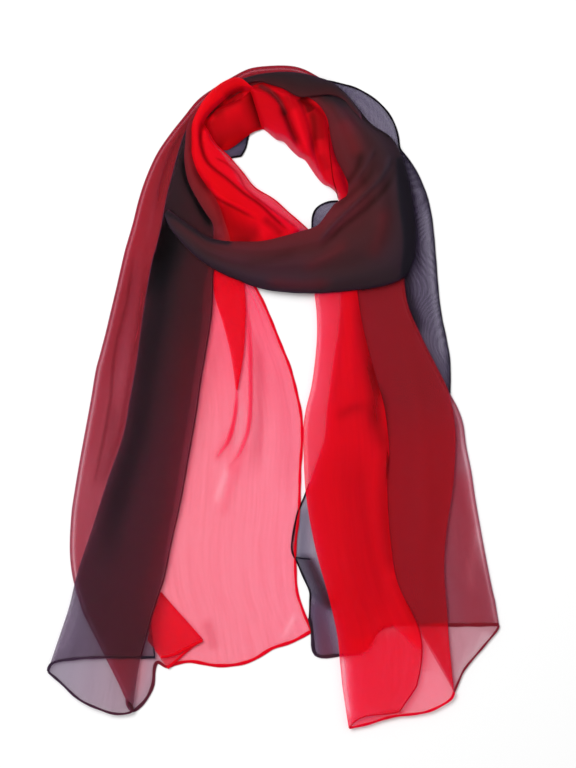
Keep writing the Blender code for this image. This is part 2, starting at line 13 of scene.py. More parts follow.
import bpy
import numpy as np
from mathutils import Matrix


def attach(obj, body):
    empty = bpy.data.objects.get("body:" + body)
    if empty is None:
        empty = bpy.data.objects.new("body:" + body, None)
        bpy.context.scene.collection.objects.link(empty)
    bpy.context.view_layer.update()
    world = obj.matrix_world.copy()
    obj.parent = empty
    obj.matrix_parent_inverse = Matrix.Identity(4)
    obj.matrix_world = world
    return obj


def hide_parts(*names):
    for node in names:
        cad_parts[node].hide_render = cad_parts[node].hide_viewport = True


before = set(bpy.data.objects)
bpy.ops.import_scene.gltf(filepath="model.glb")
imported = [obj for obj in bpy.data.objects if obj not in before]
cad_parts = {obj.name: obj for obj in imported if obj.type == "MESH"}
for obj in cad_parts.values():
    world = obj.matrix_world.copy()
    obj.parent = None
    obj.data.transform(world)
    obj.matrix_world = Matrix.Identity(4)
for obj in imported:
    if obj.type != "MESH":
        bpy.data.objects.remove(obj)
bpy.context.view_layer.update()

LOG = logging.getLogger("scarf")

MM = 0.001
PLAN_MIDDLE = (273.4, 396.5)   # the plan's middle, which is the part's origin
PANEL_WIDTH = 0.52             # the cut panel from selvage to selvage, in metres
CLOTH = 0.3                    # thickness of the shell
PITCH = 1.3                    # height from one layer of cloth to the next
FIRST_LAYER = 0.5              # height of the lowest layer's middle
BILLOW = 1.8                   # how far the top layer of an end stands off the layer below
BILLOW_FROM, BILLOW_FULL = 300.0, 380.0  # v where the billow begins, and where it is full
BILLOW_WAVE = 170.0            # length of the slow waves along an end
BILLOW_SWING = 0.3             # how much those waves change the billow, as a share
ROUNDNESS = 2.6                # exponent of an arched stretch's cross-section, 2 being an ellipse
ACROSS = 1.6                   # distance between the points across a folded cloth
FOLD_STEPS = 5                 # sides round a folded edge
FOLD_PLIES = 0.5               # how much denser the cloth looks right at a folded edge
FOLD_REACH = 2.2               # how far from a folded edge that fades out
PALE_AT, PALE_WIDTH = 2.6, 1.3  # where the pale band inside a thin folded edge is, and its width
PALE_SHARE = 0.7               # how much thinner the cloth looks there
HAIR_PLIES, HAIR_DYE = 1.6, 0.22  # the fine dark line at such an edge: its density and shade
SHEER_PLIES_AND_SHADE = 2.0              # how dense the single layer along the opening is drawn; over 1 ply, the extra paints the shade that falls on it there
HEM_PLIES = 7.0                # how dense the rolled hem is, in layers of cloth
HIDDEN_PLIES, HIDDEN_PAINTED_SHADE = 6.0, 0.3  # the hidden layers' density, and the painted shade laid on them
TURN_BLEND = 30.0              # length over which the turn's shades give way to the end's
TURN_SETTLE = 120.0            # length over which the turn's extra plies fade out
TURNED_UNDER = ((-0.45, 0.35), (-0.25, 0.8))  # a turned edge's roundness: inward, and down
SHEER_BLEND = 2.0              # distance over which a single layer gives way to gathered ones
RIM_ANGLE = math.radians(55)   # edges sharper than this stay crisp

Array = np.ndarray
Tree = bpy.types.NodeTree
Socket = bpy.types.NodeSocket
Piece = bpy.types.Object
Numbers = tuple[float, ...]
Colour = tuple[float, float, float]
Spot = tuple[float, float]
Path = tuple[Spot, ...]
Rows = tuple[Path, ...]        # plan points across the cloth, a row for each section along it


class Slot(Enum):
    """The part's material slots."""

    BRIGHT_RED = "bright_red"
    PINK_RED = "pink_red"
    DEEP_RED = "deep_red"
    MAROON = "maroon"
    PLUM = "plum"
    DARK_GREY = "dark_grey"


class Lie(Enum):
    """How a sheet of cloth lies."""

    LAID = "laid"
    FOLDED = "folded"
    GATHERED = "gathered"


# ---------------------------------------------------------------- curves on the plan
def glide(rows: Array, count: int) -> Array:
    """Resamples rows along a smooth curve through every given row.

    Args:
        rows: The given rows, first axis along the curve.
        count: How many rows to return.

    Returns:
        The resampled rows.
    """
    rows = np.asarray(rows, float)
    last = len(rows) - 1
    at = np.linspace(0.0, last, count)
    k = np.minimum(at.astype(int), last - 1)
    t = (at - k).reshape(-1, *[1] * (rows.ndim - 1))
    before, start, end, after = (rows[np.clip(k + i, 0, last)] for i in (-1, 0, 1, 2))
    slope_start, slope_end = (end - before) / 2, (after - start) / 2
    return (start * (1 + 2 * t) * (1 - t) ** 2 + slope_start * t * (1 - t) ** 2
            + end * (3 - 2 * t) * t ** 2 - slope_end * (1 - t) * t ** 2)


def smooth(path: Path, per_step: int = 8) -> Array:
    """A path's points, resampled along a smooth curve through them."""
    return glide(np.array(path), (len(path) - 1) * per_step + 1)


def walk(line: Array, shares: Array) -> Array:
    """Points at given shares of the length of an open line."""
    steps = np.linalg.norm(np.diff(line, axis=0), axis=1)
    reach = np.concatenate([[0.0], np.cumsum(steps)])
    return np.stack([np.interp(shares * reach[-1], reach, line[:, i])
                     for i in range(line.shape[1])], axis=-1)


def across_at(path: Path, downs: Array) -> Array:
    """The u of a path that runs down the plan, at each given v."""
    line = smooth(path)
    return np.interp(downs, line[:, 1], line[:, 0])


def below(line: Array, down: float) -> Array:
    """The part of a line that lies below a place on the plan."""
    return line[line[:, 1] > down]


def nearest(points: Array, line: Array) -> tuple[Array, Array]:
    """How far points of the plan are from a line.

    Args:
        points: Plan points, last axis (u, v).
        line: The line's points in order.

    Returns:
        The distances, and the share of the line's length at which each point is nearest.
    """
    steps = np.linalg.norm(np.diff(line, axis=0), axis=1)
    reach = np.concatenate([[0.0], np.cumsum(steps)])
    best = np.full(points.shape[:-1], np.inf)
    share = np.zeros(points.shape[:-1])
    for start, end, length, before in zip(line, line[1:], steps, reach):
        run = (end - start) / length
        t = np.clip((points - start) @ run, 0.0, length)
        away = np.linalg.norm(points - start - t[..., None] * run, axis=-1)
        closer = away < best
        best = np.where(closer, away, best)
        share = np.where(closer, (before + t) / reach[-1], share)
    return best, share


def within(points: Array, outline: Array) -> Array:
    """Whether points of the plan lie inside a closed outline."""
    u, v = points[..., 0], points[..., 1]
    inside = np.zeros(u.shape, bool)
    for (u0, v0), (u1, v1) in zip(outline, np.roll(outline, -1, axis=0)):
        crossing = (v0 > v) != (v1 > v)
        if v0 != v1:
            inside ^= crossing & (u < u0 + (v - v0) * (u1 - u0) / (v1 - v0))
    return inside


def unit(vectors: Array) -> Array:
    """Vectors at length 1."""
    return vectors / np.maximum(np.linalg.norm(vectors, axis=-1, keepdims=True), 1e-9)


def swell_at(shares: Array) -> Array:
    """A rounded form's height at shares of its width, 1 at its crown."""
    return np.maximum(0.0, 1 - np.abs(1 - 2 * shares) ** ROUNDNESS) ** (1 / ROUNDNESS)


def length_of(rows: Array) -> float:
    """The length of the line through the given points."""
    return np.linalg.norm(np.diff(rows, axis=0), axis=-1).sum()


# ---------------------------------------------------------------- finishes
@dataclass(frozen=True)
class DyeStop:
    """The threads' colour at one place across the panel: thrown back, and passed through."""

    place: float
    thrown: Colour
    passed: Colour


DYE = (
    DyeStop(0.00, (0.980, 0.002, 0.006), (0.93, 0.050, 0.40)),
    DyeStop(0.26, (0.930, 0.002, 0.006), (0.90, 0.050, 0.33)),
    DyeStop(0.38, (0.500, 0.014, 0.020), (0.83, 0.070, 0.28)),
    DyeStop(0.47, (0.310, 0.024, 0.028), (0.80, 0.100, 0.31)),
    DyeStop(0.58, (0.180, 0.023, 0.027), (0.73, 0.140, 0.37)),
    DyeStop(0.70, (0.092, 0.025, 0.027), (0.62, 0.200, 0.44)),
    DyeStop(0.82, (0.044, 0.027, 0.029), (0.50, 0.290, 0.57)),
    DyeStop(1.00, (0.020, 0.018, 0.023), (0.43, 0.360, 0.59)),
)
PAINTED_SHADE_TINT = (0.26, 0.20, 0.20)  # what full painted shade leaves of each colour
WEAVE_DEPTH = 0.0001           # how far the threads stand up, in metres
GRAIN_SCALE = 900.0            # scale of the uneven grain in the weave's relief
STREAK_SCALES = (260.0, 9.0)   # scale of the closer and looser threads, across and along
STREAK_ROUGHNESS = 0.72
BEAT_RATES = (1500.0, 260.0)   # how fast the moire's lines follow each other, across and along
BEAT_DRIFT, DRIFT_SCALE = 120.0, 17.0  # how far those lines wander, and how often


def new_group(name: str, inputs: dict[str, float], outputs: dict[str, str]) -> Tree:
    """Makes an empty shader node group.

    Args:
        name: The group's name.
        inputs: Each number input's name and default; the vector input comes with them.
        outputs: Each output's name and socket type.

    Returns:
        The group's node tree, with its input and output nodes named "in" and "out".
    """
    group = bpy.data.node_groups.new(name, "ShaderNodeTree")
    for label, value in inputs.items():
        made = group.interface.new_socket(label, in_out="INPUT", socket_type="NodeSocketFloat")
        made.default_value = value
    for label, kind in outputs.items():
        group.interface.new_socket(label, in_out="OUTPUT", socket_type=kind)
    group.nodes.new("NodeGroupInput").name = "in"
    group.nodes.new("NodeGroupOutput").name = "out"
    return group


def maths(tree: Tree, operation: str, *values: object) -> Socket:
    """Adds a Math node.

    Args:
        tree: The node tree.
        operation: The node's operation.
        values: Numbers, or sockets to link.

    Returns:
        The node's output.
    """
    node = tree.nodes.new("ShaderNodeMath")
    node.operation = operation
    for place, value in enumerate(values):
        if isinstance(value, Socket):
            tree.links.new(value, node.inputs[place])
        else:
            node.inputs[place].default_value = value
    return node.outputs[0]


def noise(tree: Tree, place: Socket, scale: float, detail: float, roughness: float = 0.5) -> Socket:
    """Adds a Noise Texture node.

    Args:
        tree: The node tree.
        place: The vector that it reads.
        scale: The node's scale.
        detail: The node's detail.
        roughness: The node's roughness.

    Returns:
        The node's value, about 0.5 on average.
    """
    node = tree.nodes.new("ShaderNodeTexNoise")
    for label, value in (("Scale", scale), ("Detail", detail), ("Roughness", roughness)):
        node.inputs[label].default_value = value
    tree.links.new(place, node.inputs["Vector"])
    return node.outputs[0]


def paired(tree: Tree, across: Socket, along: Socket) -> Socket:
    """Joins two numbers as a vector that a texture can read."""
    node = tree.nodes.new("ShaderNodeCombineXYZ")
    tree.links.new(across, node.inputs[0])
    tree.links.new(along, node.inputs[1])
    return node.outputs[0]


def dyed_group() -> Tree:
    """The dye at a place across the panel, darkened by the painted shade laid on it."""
    names = {"Thrown": "NodeSocketColor", "Passed": "NodeSocketColor"}
    group = new_group("dye_with_painted_shade", {"Place": 0.0, "PaintedShade": 0.0}, names)
    for output in names:
        ramp = group.nodes.new("ShaderNodeValToRGB")
        stops = ramp.color_ramp.elements
        while len(stops) < len(DYE):
            stops.new(1.0)
        for stop, dye in zip(stops, DYE):
            stop.position = dye.place
            stop.color = (*getattr(dye, output.lower()), 1.0)
        # Painted shade: multiplies each colour towards the shade tint.
        painted_darkening = group.nodes.new("ShaderNodeMix")
        painted_darkening.data_type = "RGBA"
        painted_darkening.blend_type = "MULTIPLY"
        painted_darkening.inputs[7].default_value = (*PAINTED_SHADE_TINT, 1.0)
        group.links.new(group.nodes["in"].outputs["Place"], ramp.inputs[0])
        group.links.new(group.nodes["in"].outputs["PaintedShade"], painted_darkening.inputs[0])
        group.links.new(ramp.outputs[0], painted_darkening.inputs[6])
        group.links.new(painted_darkening.outputs[2], group.nodes["out"].inputs[output])
    return group


def thread_group() -> Tree:
    """The weave: its fine relief, and streaks of closer and looser threads along the panel."""
    names = {"Across": 0.0, "Along": 0.0, "Pitch": 0.0006, "Streaks": 0.1, "Moire": 0.0}
    group = new_group("chiffon_threads", names,
                      {"Cover": "NodeSocketFloat", "Height": "NodeSocketFloat"})
    given = group.nodes["in"].outputs
    warp, weft = (
        maths(group, "SINE", maths(group, "MULTIPLY", 2 * math.pi,
                                   maths(group, "DIVIDE", given[way], given["Pitch"])))
        for way in ("Across", "Along")
    )
    spot = paired(group, given["Across"], given["Along"])
    grain = noise(group, spot, GRAIN_SCALE, 2.0)
    woven = maths(group, "ADD", maths(group, "MAXIMUM", warp, weft), grain)
    group.links.new(woven, group.nodes["out"].inputs["Height"])

    drawn_out = paired(group, *(maths(group, "MULTIPLY", given[way], scale)
                                for way, scale in zip(("Across", "Along"), STREAK_SCALES)))
    streak = noise(group, drawn_out, 1.0, 4.0, STREAK_ROUGHNESS)
    streaky = maths(group, "MULTIPLY", maths(group, "SUBTRACT", streak, 0.5), given["Streaks"])
    drift = noise(group, spot, DRIFT_SCALE, 0.0)
    slanting = maths(group, "ADD", *(maths(group, "MULTIPLY", given[way], rate)
                                     for way, rate in zip(("Across", "Along"), BEAT_RATES)))
    beat = maths(group, "ADD", slanting, maths(group, "MULTIPLY", drift, BEAT_DRIFT))
    beating = maths(group, "MULTIPLY", maths(group, "SINE", beat), given["Moire"])
    cover = maths(group, "ADD", 1.0, maths(group, "ADD", streaky, beating))
    group.links.new(cover, group.nodes["out"].inputs["Cover"])
    return group


GROUPS: dict[str, Tree] = {"dye": dyed_group(), "threads": thread_group()}


@dataclass(frozen=True)
class ClothFinish:
    """Sheer chiffon: threads that scatter and pass light, with open weave between them."""

    name: str
    cover: float = 0.56          # share of the light that one layer's threads catch
    passing: float = 0.5         # share of the threads' light that goes through
    roughness: float = 0.58
    sheen: float = 0.02
    sheen_roughness: float = 0.45
    specular: float = 0.05
    weave: float = 0.25          # strength of the weave's relief
    streaks: float = 0.45
    moire: float = 0.0

    def material(self) -> bpy.types.Material:
        """The finish as a material, which reads the panel's map, its plies and its painted shade."""
        made = bpy.data.materials.get(self.name)
        if made:
            return made
        made = bpy.data.materials.new(self.name)
        made.use_nodes = True
        tree = made.node_tree
        cloth = tree.nodes["Principled BSDF"]
        plain = {"Roughness": self.roughness, "Sheen Weight": self.sheen,
                 "Sheen Roughness": self.sheen_roughness, "Specular IOR Level": self.specular}
        for label, value in plain.items():
            cloth.inputs[label].default_value = value

        panel = tree.nodes.new("ShaderNodeUVMap")
        panel.uv_map = "panel"
        ways = tree.nodes.new("ShaderNodeSeparateXYZ")
        tree.links.new(panel.outputs[0], ways.inputs[0])
        plies, deep = (tree.nodes.new("ShaderNodeAttribute") for _ in range(2))
        plies.attribute_name, deep.attribute_name = "plies", "deep"

        dye = tree.nodes.new("ShaderNodeGroup")
        dye.node_tree = GROUPS["dye"]
        place = maths(tree, "DIVIDE", ways.outputs[0], PANEL_WIDTH)
        tree.links.new(place, dye.inputs["Place"])
        tree.links.new(deep.outputs["Fac"], dye.inputs["PaintedShade"])
        tree.links.new(dye.outputs["Thrown"], cloth.inputs["Base Color"])

        threads = tree.nodes.new("ShaderNodeGroup")
        threads.node_tree = GROUPS["threads"]
        tree.links.new(ways.outputs[0], threads.inputs["Across"])
        tree.links.new(ways.outputs[1], threads.inputs["Along"])
        threads.inputs["Streaks"].default_value = self.streaks
        threads.inputs["Moire"].default_value = self.moire
        relief = tree.nodes.new("ShaderNodeBump")
        relief.inputs["Strength"].default_value = self.weave
        relief.inputs["Distance"].default_value = WEAVE_DEPTH
        tree.links.new(threads.outputs["Height"], relief.inputs["Height"])
        tree.links.new(relief.outputs[0], cloth.inputs["Normal"])

        through = tree.nodes.new("ShaderNodeBsdfTranslucent")
        tree.links.new(dye.outputs["Passed"], through.inputs["Color"])
        lit = tree.nodes.new("ShaderNodeMixShader")
        lit.inputs[0].default_value = self.passing
        tree.links.new(cloth.outputs[0], lit.inputs[1])
        tree.links.new(through.outputs[0], lit.inputs[2])

        # A layer has two skins, so each lets through the square root of what the layer does.
        skins = maths(tree, "MULTIPLY", plies.outputs["Fac"], threads.outputs["Cover"])
        open_share = maths(tree, "POWER", math.sqrt(1.0 - self.cover), skins)
        caught = maths(tree, "SUBTRACT", 1.0, open_share)
        open_weave = tree.nodes.new("ShaderNodeBsdfTransparent")
        whole = tree.nodes.new("ShaderNodeMixShader")
        tree.links.new(caught, whole.inputs[0])
        tree.links.new(open_weave.outputs[0], whole.inputs[1])
        tree.links.new(lit.outputs[0], whole.inputs[2])
        tree.links.new(whole.outputs[0], tree.nodes["Material Output"].inputs["Surface"])
        return made


CHIFFON = ClothFinish("chiffon")
DARK_EDGE = ClothFinish("chiffon_dark_edge", cover=0.55, moire=0.15)
DARK_PLAIN = ClothFinish("chiffon_dark_plain", cover=0.55, moire=0.05)
ROLLED = ClothFinish("rolled_hem", cover=0.62, weave=0.6)
GATHERED = ClothFinish("gathered_layers", cover=0.9, streaks=0.6)


# ---------------------------------------------------------------- cloth as a grid of points
@dataclass(frozen=True)
class Mark:
    """Something pressed into the cloth round a path, and what it does to the cloth's look, painted
    shade among it.

    width is how far it reaches, rise its height at the middle, plies how many layers it adds there, its
    painted shade how far it darkens the colour (below 0 it takes painted shade away, a painted
    highlight), and dye how far across the panel it shifts the colour. layer is the layer or layers that
    take it.
    """

    path: Path
    width: float
    rise: float = 0.0
    plies: float = 0.0
    deep: float = 0.0
    dye: float = 0.0
    layer: int | tuple[int, ...] = 0

    def amount(self, points: Array) -> Array:
        """How strongly the mark works at each plan point, 0 to 1."""
        raise NotImplementedError


@dataclass(frozen=True)
class Crease(Mark):
    """A soft ridge or trough along an open path, with the painted shade it is given."""

    fade: float = 0.2            # share of the path over which each end fades out

    def amount(self, points: Array) -> Array:
        """How strongly the crease works at each plan point, 0 to 1."""
        away, share = nearest(points, smooth(self.path, 4))
        ends = 1.0
        if self.fade:
            ends = np.clip(np.minimum(share, 1 - share) / self.fade, 0.0, 1.0)
        return np.exp(-(away / self.width) ** 2) * ends


class Patch(Mark):
    """A region inside a closed path, such as a painted shadow; its width is the distance over which its
    rim fades.
    """

    def amount(self, points: Array) -> Array:
        """How strongly the patch works at each plan point, 0 to 1."""
        outline = smooth(self.path + self.path[:1], 4)
        away, _ = nearest(points, outline)
        away = np.where(within(points, outline[:-1]), away, -away)
        grown = np.clip(0.5 + away / self.width, 0.0, 1.0)
        return grown * grown * (3 - 2 * grown)


Marks = tuple[Mark, ...]


def on_layer(layer: int, *marks: Mark) -> Marks:
    """The same marks, taken by another layer."""
    return tuple(replace(mark, layer=layer) for mark in marks)


@dataclass
class Cloth:
    """A stretch of cloth: stations along the panel by places across it, in plan units."""

    name: str
    points: Array           # (stations, places, 3): u, v, height
    dye: Array              # (stations, places): share across the panel
    layer: Array            # (places,): which layer, counted along the fold
    plies: Array | None = None
    # painted shade at each point, 0 to 1
    deep: Array | None = None

    def __post_init__(self) -> None:
        """Starts with one plain ply everywhere."""
        if self.plies is None:
            self.plies = np.ones(self.dye.shape)
        if self.deep is None:
            self.deep = np.zeros(self.dye.shape)

    def press(self, marks: Marks) -> None:
        """Presses creases and patches into the layers that take them, and lays their painted shade."""
        for mark in marks:
            amount = mark.amount(self.points[..., :2]) * np.isin(self.layer, mark.layer)
            self.points[..., 2] += mark.rise * amount
            self.plies += mark.plies * amount
            self.deep += mark.deep * amount
            self.dye += mark.dye * amount

    def line(self, column: int) -> Array:
        """The points down one column, with the dye as a fourth number."""
        return np.concatenate([self.points[:, column], self.dye[:, column, None]], axis=1)

    def end(self, layer: int) -> Array:
        """The cut end of one layer, with the dye as a fourth number."""
        found = self.layer == layer
        return np.concatenate([self.points[-1, found], self.dye[-1, found, None]], axis=1)

    def piece(self, finish: ClothFinish) -> Piece:
        """Makes the cloth an object: a closed thin shell with its finish.

        Args:
            finish: The cloth's finish.

        Returns:
            The object, at the origin, with its place in its mesh.
        """
        stations, places = self.dye.shape
        index = np.arange(stations * places).reshape(stations, places)
        faces = np.stack([index[:-1, :-1], index[:-1, 1:], index[1:, 1:], index[1:, :-1]], -1)
        middle = self.points.mean(axis=1)
        reach = np.concatenate([[0.0], np.cumsum(np.linalg.norm(np.diff(middle, axis=0), axis=1))])
        along = np.repeat(reach[:, None] * MM, places, axis=1)
        made = shell_mesh(self.name, self.points.reshape(-1, 3), faces.reshape(-1, 4).tolist(),
                          self.dye.ravel(), along.ravel(), self.plies.ravel(), self.deep.ravel())
        made.data.materials.append(finish.material())
        wall = made.modifiers.new("wall", "SOLIDIFY")
        wall.thickness = CLOTH * MM
        wall.offset = 0.0
        settle(made)
        return made


def shell_mesh(name: str, points: Array, faces: list[list[int]], dye: Array,
               along: Array, plies: Array, deep: Array) -> Piece:
    """An object from plan points and faces, with the panel's map and the cloth's attributes.

    Args:
        name: The object's name.
        points: Plan points and heights.
        faces: Corner numbers of each face.
        dye: Share across the panel at each point.
        along: Metres along the panel at each point.
        plies: Layers of cloth at each point.
        deep: Painted shade at each point, 0 to 1, which darkens the colour.

    Returns:
        The object, linked to the scene.
    """
    spots = np.stack([points[:, 0] - PLAN_MIDDLE[0], PLAN_MIDDLE[1] - points[:, 1],
                      points[:, 2]], axis=1) * MM
    mesh = bpy.data.meshes.new(name)
    mesh.from_pydata(spots.tolist(), [], faces)
    corners = np.zeros(len(mesh.loops), int)
    mesh.loops.foreach_get("vertex_index", corners)
    panel = mesh.uv_layers.new(name="panel")
    flat = np.stack([np.clip(dye, 0.0, 1.0) * PANEL_WIDTH, along], axis=1)
    panel.data.foreach_set("uv", flat[corners].ravel())
    for label, values in (("plies", np.maximum(plies, 0.1)), ("deep", np.clip(deep, 0.0, 1.0))):
        mesh.attributes.new(label, "FLOAT", "POINT").data.foreach_set("value", values)
    made = bpy.data.objects.new(name, mesh)
    bpy.context.scene.collection.objects.link(made)
    return made


def tube_faces(rings: int, sides: int) -> list[list[int]]:
    """The faces of a closed tube, with a face over each end.

    Args:
        rings: How many rings of points the tube has.
        sides: How many points a ring has.

    Returns:
        Corner numbers of each face.
    """
    index = np.arange(rings * sides).reshape(rings, sides)
    ahead = np.roll(index, -1, axis=1)
    around = np.stack([index[:-1], ahead[:-1], ahead[1:], index[1:]], -1).reshape(-1, 4)
    return around.tolist() + [index[0].tolist()[::-1], index[-1].tolist()]


def settle(made: Piece) -> None:
    """Applies an object's modifiers and shades it smooth, crisp at its rims."""
    bpy.ops.object.select_all(action="DESELECT")
    made.select_set(True)
    bpy.context.view_layer.objects.active = made
    for modifier in list(made.modifiers):
        bpy.ops.object.modifier_apply(modifier=modifier.name)
    bpy.ops.object.shade_smooth_by_angle(angle=RIM_ANGLE)
    made.select_set(False)


@dataclass(frozen=True)
class RolledHem:
    """A narrow hem rolled and stitched along an edge."""

    half_width: float = 1.05
    half_height: float = 0.62
    sides: int = 8
    step: float = 1.6            # distance between sections
    wander: float = 0.12         # how much its width wanders, as a share
    wander_length: float = 23.0
    deep: float = 0.4            # painted shade that darkens the hem, over the density of its roll

    def sew(self, name: str, edge: Array) -> Piece:
        """Makes the hem along an edge of the cloth.

        Args:
            name: The piece's name.
            edge: Points of the edge, with the dye as a fourth number.

        Returns:
            The hem's object.
        """
        length = length_of(edge[:, :3])
        count = max(4, round(length / self.step))
        middle = walk(edge, np.linspace(0.0, 1.0, count))
        middle[:, 2] = np.maximum(middle[:, 2], self.half_height)
        run = unit(np.gradient(middle[:, :2], axis=0))
        side = np.stack([-run[:, 1], run[:, 0]], axis=1)
        reach = np.linspace(0.0, length, count)
        breadth = 1 + self.wander * np.sin(2 * math.pi * reach / self.wander_length)
        angles = 2 * math.pi * np.arange(self.sides) / self.sides
        rings = np.zeros((count, self.sides, 3))
        spread = self.half_width * breadth[:, None] * np.cos(angles)
        rings[..., :2] = middle[:, None, :2] + spread[..., None] * side[:, None]
        rings[..., 2] = middle[:, None, 2] + self.half_height * np.sin(angles)
        size = count * self.sides
        made = shell_mesh(name, rings.reshape(-1, 3), tube_faces(count, self.sides),
                          np.repeat(middle[:, 3], self.sides), np.repeat(reach * MM, self.sides),
                          np.full(size, HEM_PLIES), np.full(size, self.deep))
        made.data.materials.append(ROLLED.material())
        settle(made)
        return made


def dress(made: Piece, slot: Slot, *nodes: str) -> Piece:
    """Fixes a piece to the part and hides the solids that it stands for."""
    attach(made, "root")
    if nodes:
        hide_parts(*nodes)
    return made


def sew_hems(*rows: tuple[str, RolledHem, Array, Slot]) -> list[Piece]:
    """Sews hems and fixes them to the part.

    Args:
        rows: Each hem's name, kind, edge and slot.

    Returns:
        The hems' objects, in the same order.
    """
    return [dress(kind.sew(name, edge), slot) for name, kind, edge, slot in rows]


# Each hem's painted shade darkens it beyond its own density.
HEM = RolledHem()
RED_HEM = RolledHem(half_width=1.3, deep=0.1)
FINE_HEM = RolledHem(half_width=0.65, half_height=0.5, deep=0.6)
DARK_HEM = RolledHem(half_width=0.9, deep=0.9)


# ---------------------------------------------------------------- folded cloth
@dataclass
class FoldedCloth:
    """Cloth folded lengthwise into flat layers, each a fixed height above the last.

    A station is a plan point for each selvage and fold line, in the cloth's order. turn holds
    the stations that go round the neck, lines the straight part's selvages and folds, and ends
    the outlines of the layers' cut ends.
    """

    name: str
    layers: tuple[int, ...]
    dyes: Numbers
    lines: Rows = ()
    downs: tuple[float, float] = (0.0, 0.0)
    ends: Rows = ()
    turn: Rows = ()
    turn_dyes: Numbers = ()
    turn_lifts: Numbers = ()
    turn_plies: Numbers = ()
    fold_plies: Numbers = ()
    rims: Numbers = ()  # how strongly each folded edge shows as a fine line
    holds: Numbers = ()  # how long each layer keeps its first shade, 1 being evenly
    spacing: float = 4.2         # distance between stations
    end_reach: float = 90.0      # length of the part that leads to the cut ends
    billow: int = -1             # the layer that billows, or -1
    creases: Marks = ()

    def stations(self) -> tuple[Array, Array, Array, Array]:
        """Every station down to the cut ends.

        Returns:
            The stations' plan points, the dye at each point, and their lifts and plies.
        """
        stops, dyes, lifts, plies = [], [], [], []
        if self.turn:
            rows = np.array(self.turn, float)
            length = np.linalg.norm(np.diff(rows, axis=0), axis=2).max(axis=1).sum()
            count = round(length / self.spacing)
            stops.append(glide(rows, count))
            for kept, given, plain in ((lifts, self.turn_lifts, 0.0), (plies, self.turn_plies, 1.0)):
                at_rows = given or (plain,) * 2
                kept.append(np.interp(np.linspace(0, 1, count), np.linspace(0, 1, len(at_rows)),
                                      at_rows))
            dyes.append(np.tile(self.turn_dyes or self.dyes, (count, 1)))
        if self.lines:
            count = round((self.downs[1] - self.downs[0]) / self.spacing)
            downs = np.linspace(*self.downs, count)
            rows = np.stack([np.stack([across_at(line, downs), downs], 1) for line in self.lines], 1)
            dye = np.tile(self.dyes, (count, 1)).astype(float)
            ply = np.ones(count)
            if self.turn:
                reach = np.arange(count) * self.spacing
                mixed = np.clip(reach / TURN_BLEND, 0.0, 1.0)[:, None]
                dye = dyes[0][-1] * (1 - mixed) + dye * mixed
                ply += (plies[0][-1] - 1) * np.exp(-((reach / TURN_SETTLE) ** 2))
                rows, dye, ply = rows[1:], dye[1:], ply[1:]
            stops.append(rows)
            lifts.append(np.zeros(len(rows)))
            plies.append(ply)
            dyes.append(dye)
        return tuple(np.concatenate(x) for x in (stops, dyes, lifts, plies))

    def runs(self, stops: Array) -> list[Array]:
        """The plan points of each layer, from the stations and on to the cut ends."""
        widths = np.linalg.norm(np.diff(stops, axis=1), axis=2).max(axis=0)
        runs = []
        for number, width in enumerate(widths):
            shares = np.linspace(0.0, 1.0, max(5, round(width / ACROSS)))[:, None]
            first, second = stops[:, number, None], stops[:, number + 1, None]
            run = first * (1 - shares) + second * shares
            if self.ends:
                cut = walk(smooth(self.ends[number], 4), shares[:, 0])
                count = round(self.end_reach / self.spacing)
                blend = np.linspace(0.0, 1.0, count + 1)[1:, None, None]
                run = np.concatenate([run, run[-1] * (1 - blend) + cut * blend])
            runs.append(run)
        return runs

    def cloth(self) -> Cloth:
        """The folded cloth as a grid of points, with its folds rounded and creases pressed."""
        stops, dyes, lifts, plies = self.stations()
        runs = self.runs(stops)
        more = len(runs[0]) - len(stops)
        dyes = np.concatenate([dyes, np.repeat(dyes[-1:], more, axis=0)])
        lifts = np.concatenate([lifts, np.zeros(more)])
        plies = np.concatenate([plies, np.repeat(plies[-1:], more)])
        heights = [FIRST_LAYER + level * PITCH + lifts for level in self.layers]
        folds = {}
        for number in range(len(runs) - 1):
            stop = runs[number][:, -1]
            outward = unit(unit(stop - runs[number][:, -2]) + unit(stop - runs[number + 1][:, 1]))
            radius = abs(heights[number + 1] - heights[number])[:, None] / 2
            folds[number] = (stop - outward * radius, outward, radius)
        for number, (centre, _, _) in folds.items():
            runs[number][:, -1] = centre
            runs[number + 1][:, 0] = centre
        columns, layer = [], []
        for number, run in enumerate(runs):
            shares = np.linspace(0.0, 1.0, run.shape[1])
            z = np.repeat(heights[number][:, None], run.shape[1], axis=1)
            if number == self.billow:
                z = z + billow_at(run[..., 1], shares)
            turned = shares ** (self.holds[number] if self.holds else 1.0)
            dye = dyes[:, number, None] * (1 - turned) + dyes[:, number + 1, None] * turned
            columns.append(np.concatenate([run, z[..., None], dye[..., None]], axis=2))
            layer += [number] * run.shape[1]
            if number in folds:
                columns.append(self.fold(folds[number], heights[number], heights[number + 1],
                                         dyes[:, number + 1]))
                layer += [-1] * (FOLD_STEPS - 1)
        grid = np.concatenate(columns, axis=1)
        made = Cloth(self.name, grid[..., :3], grid[..., 3], np.array(layer))
        made.plies *= plies[:, None]
        self.trim_folds(made)
        made.press(self.creases)
        return made

    @staticmethod
    def fold(shape: tuple[Array, Array, Array], low: Array, high: Array, dye: Array) -> Array:
        """Half a turn of cloth from one layer to the next.

        Args:
            shape: The fold's centre, outward direction and radius at each station.
            low: Height of the layer before the fold.
            high: Height of the layer after it.
            dye: The dye along the fold.

        Returns:
            The fold's columns: u, v, height and dye.
        """
        centre, outward, radius = shape
        angles = np.pi * np.arange(1, FOLD_STEPS) / FOLD_STEPS
        spots = centre[:, None] + outward[:, None] * (radius * np.sin(angles))[..., None]
        z = (low + high)[:, None] / 2 - np.cos(angles) * (high - low)[:, None] / 2
        return np.concatenate([spots, z[..., None], np.repeat(dye[:, None, None], len(angles), 1)],
                              axis=2)

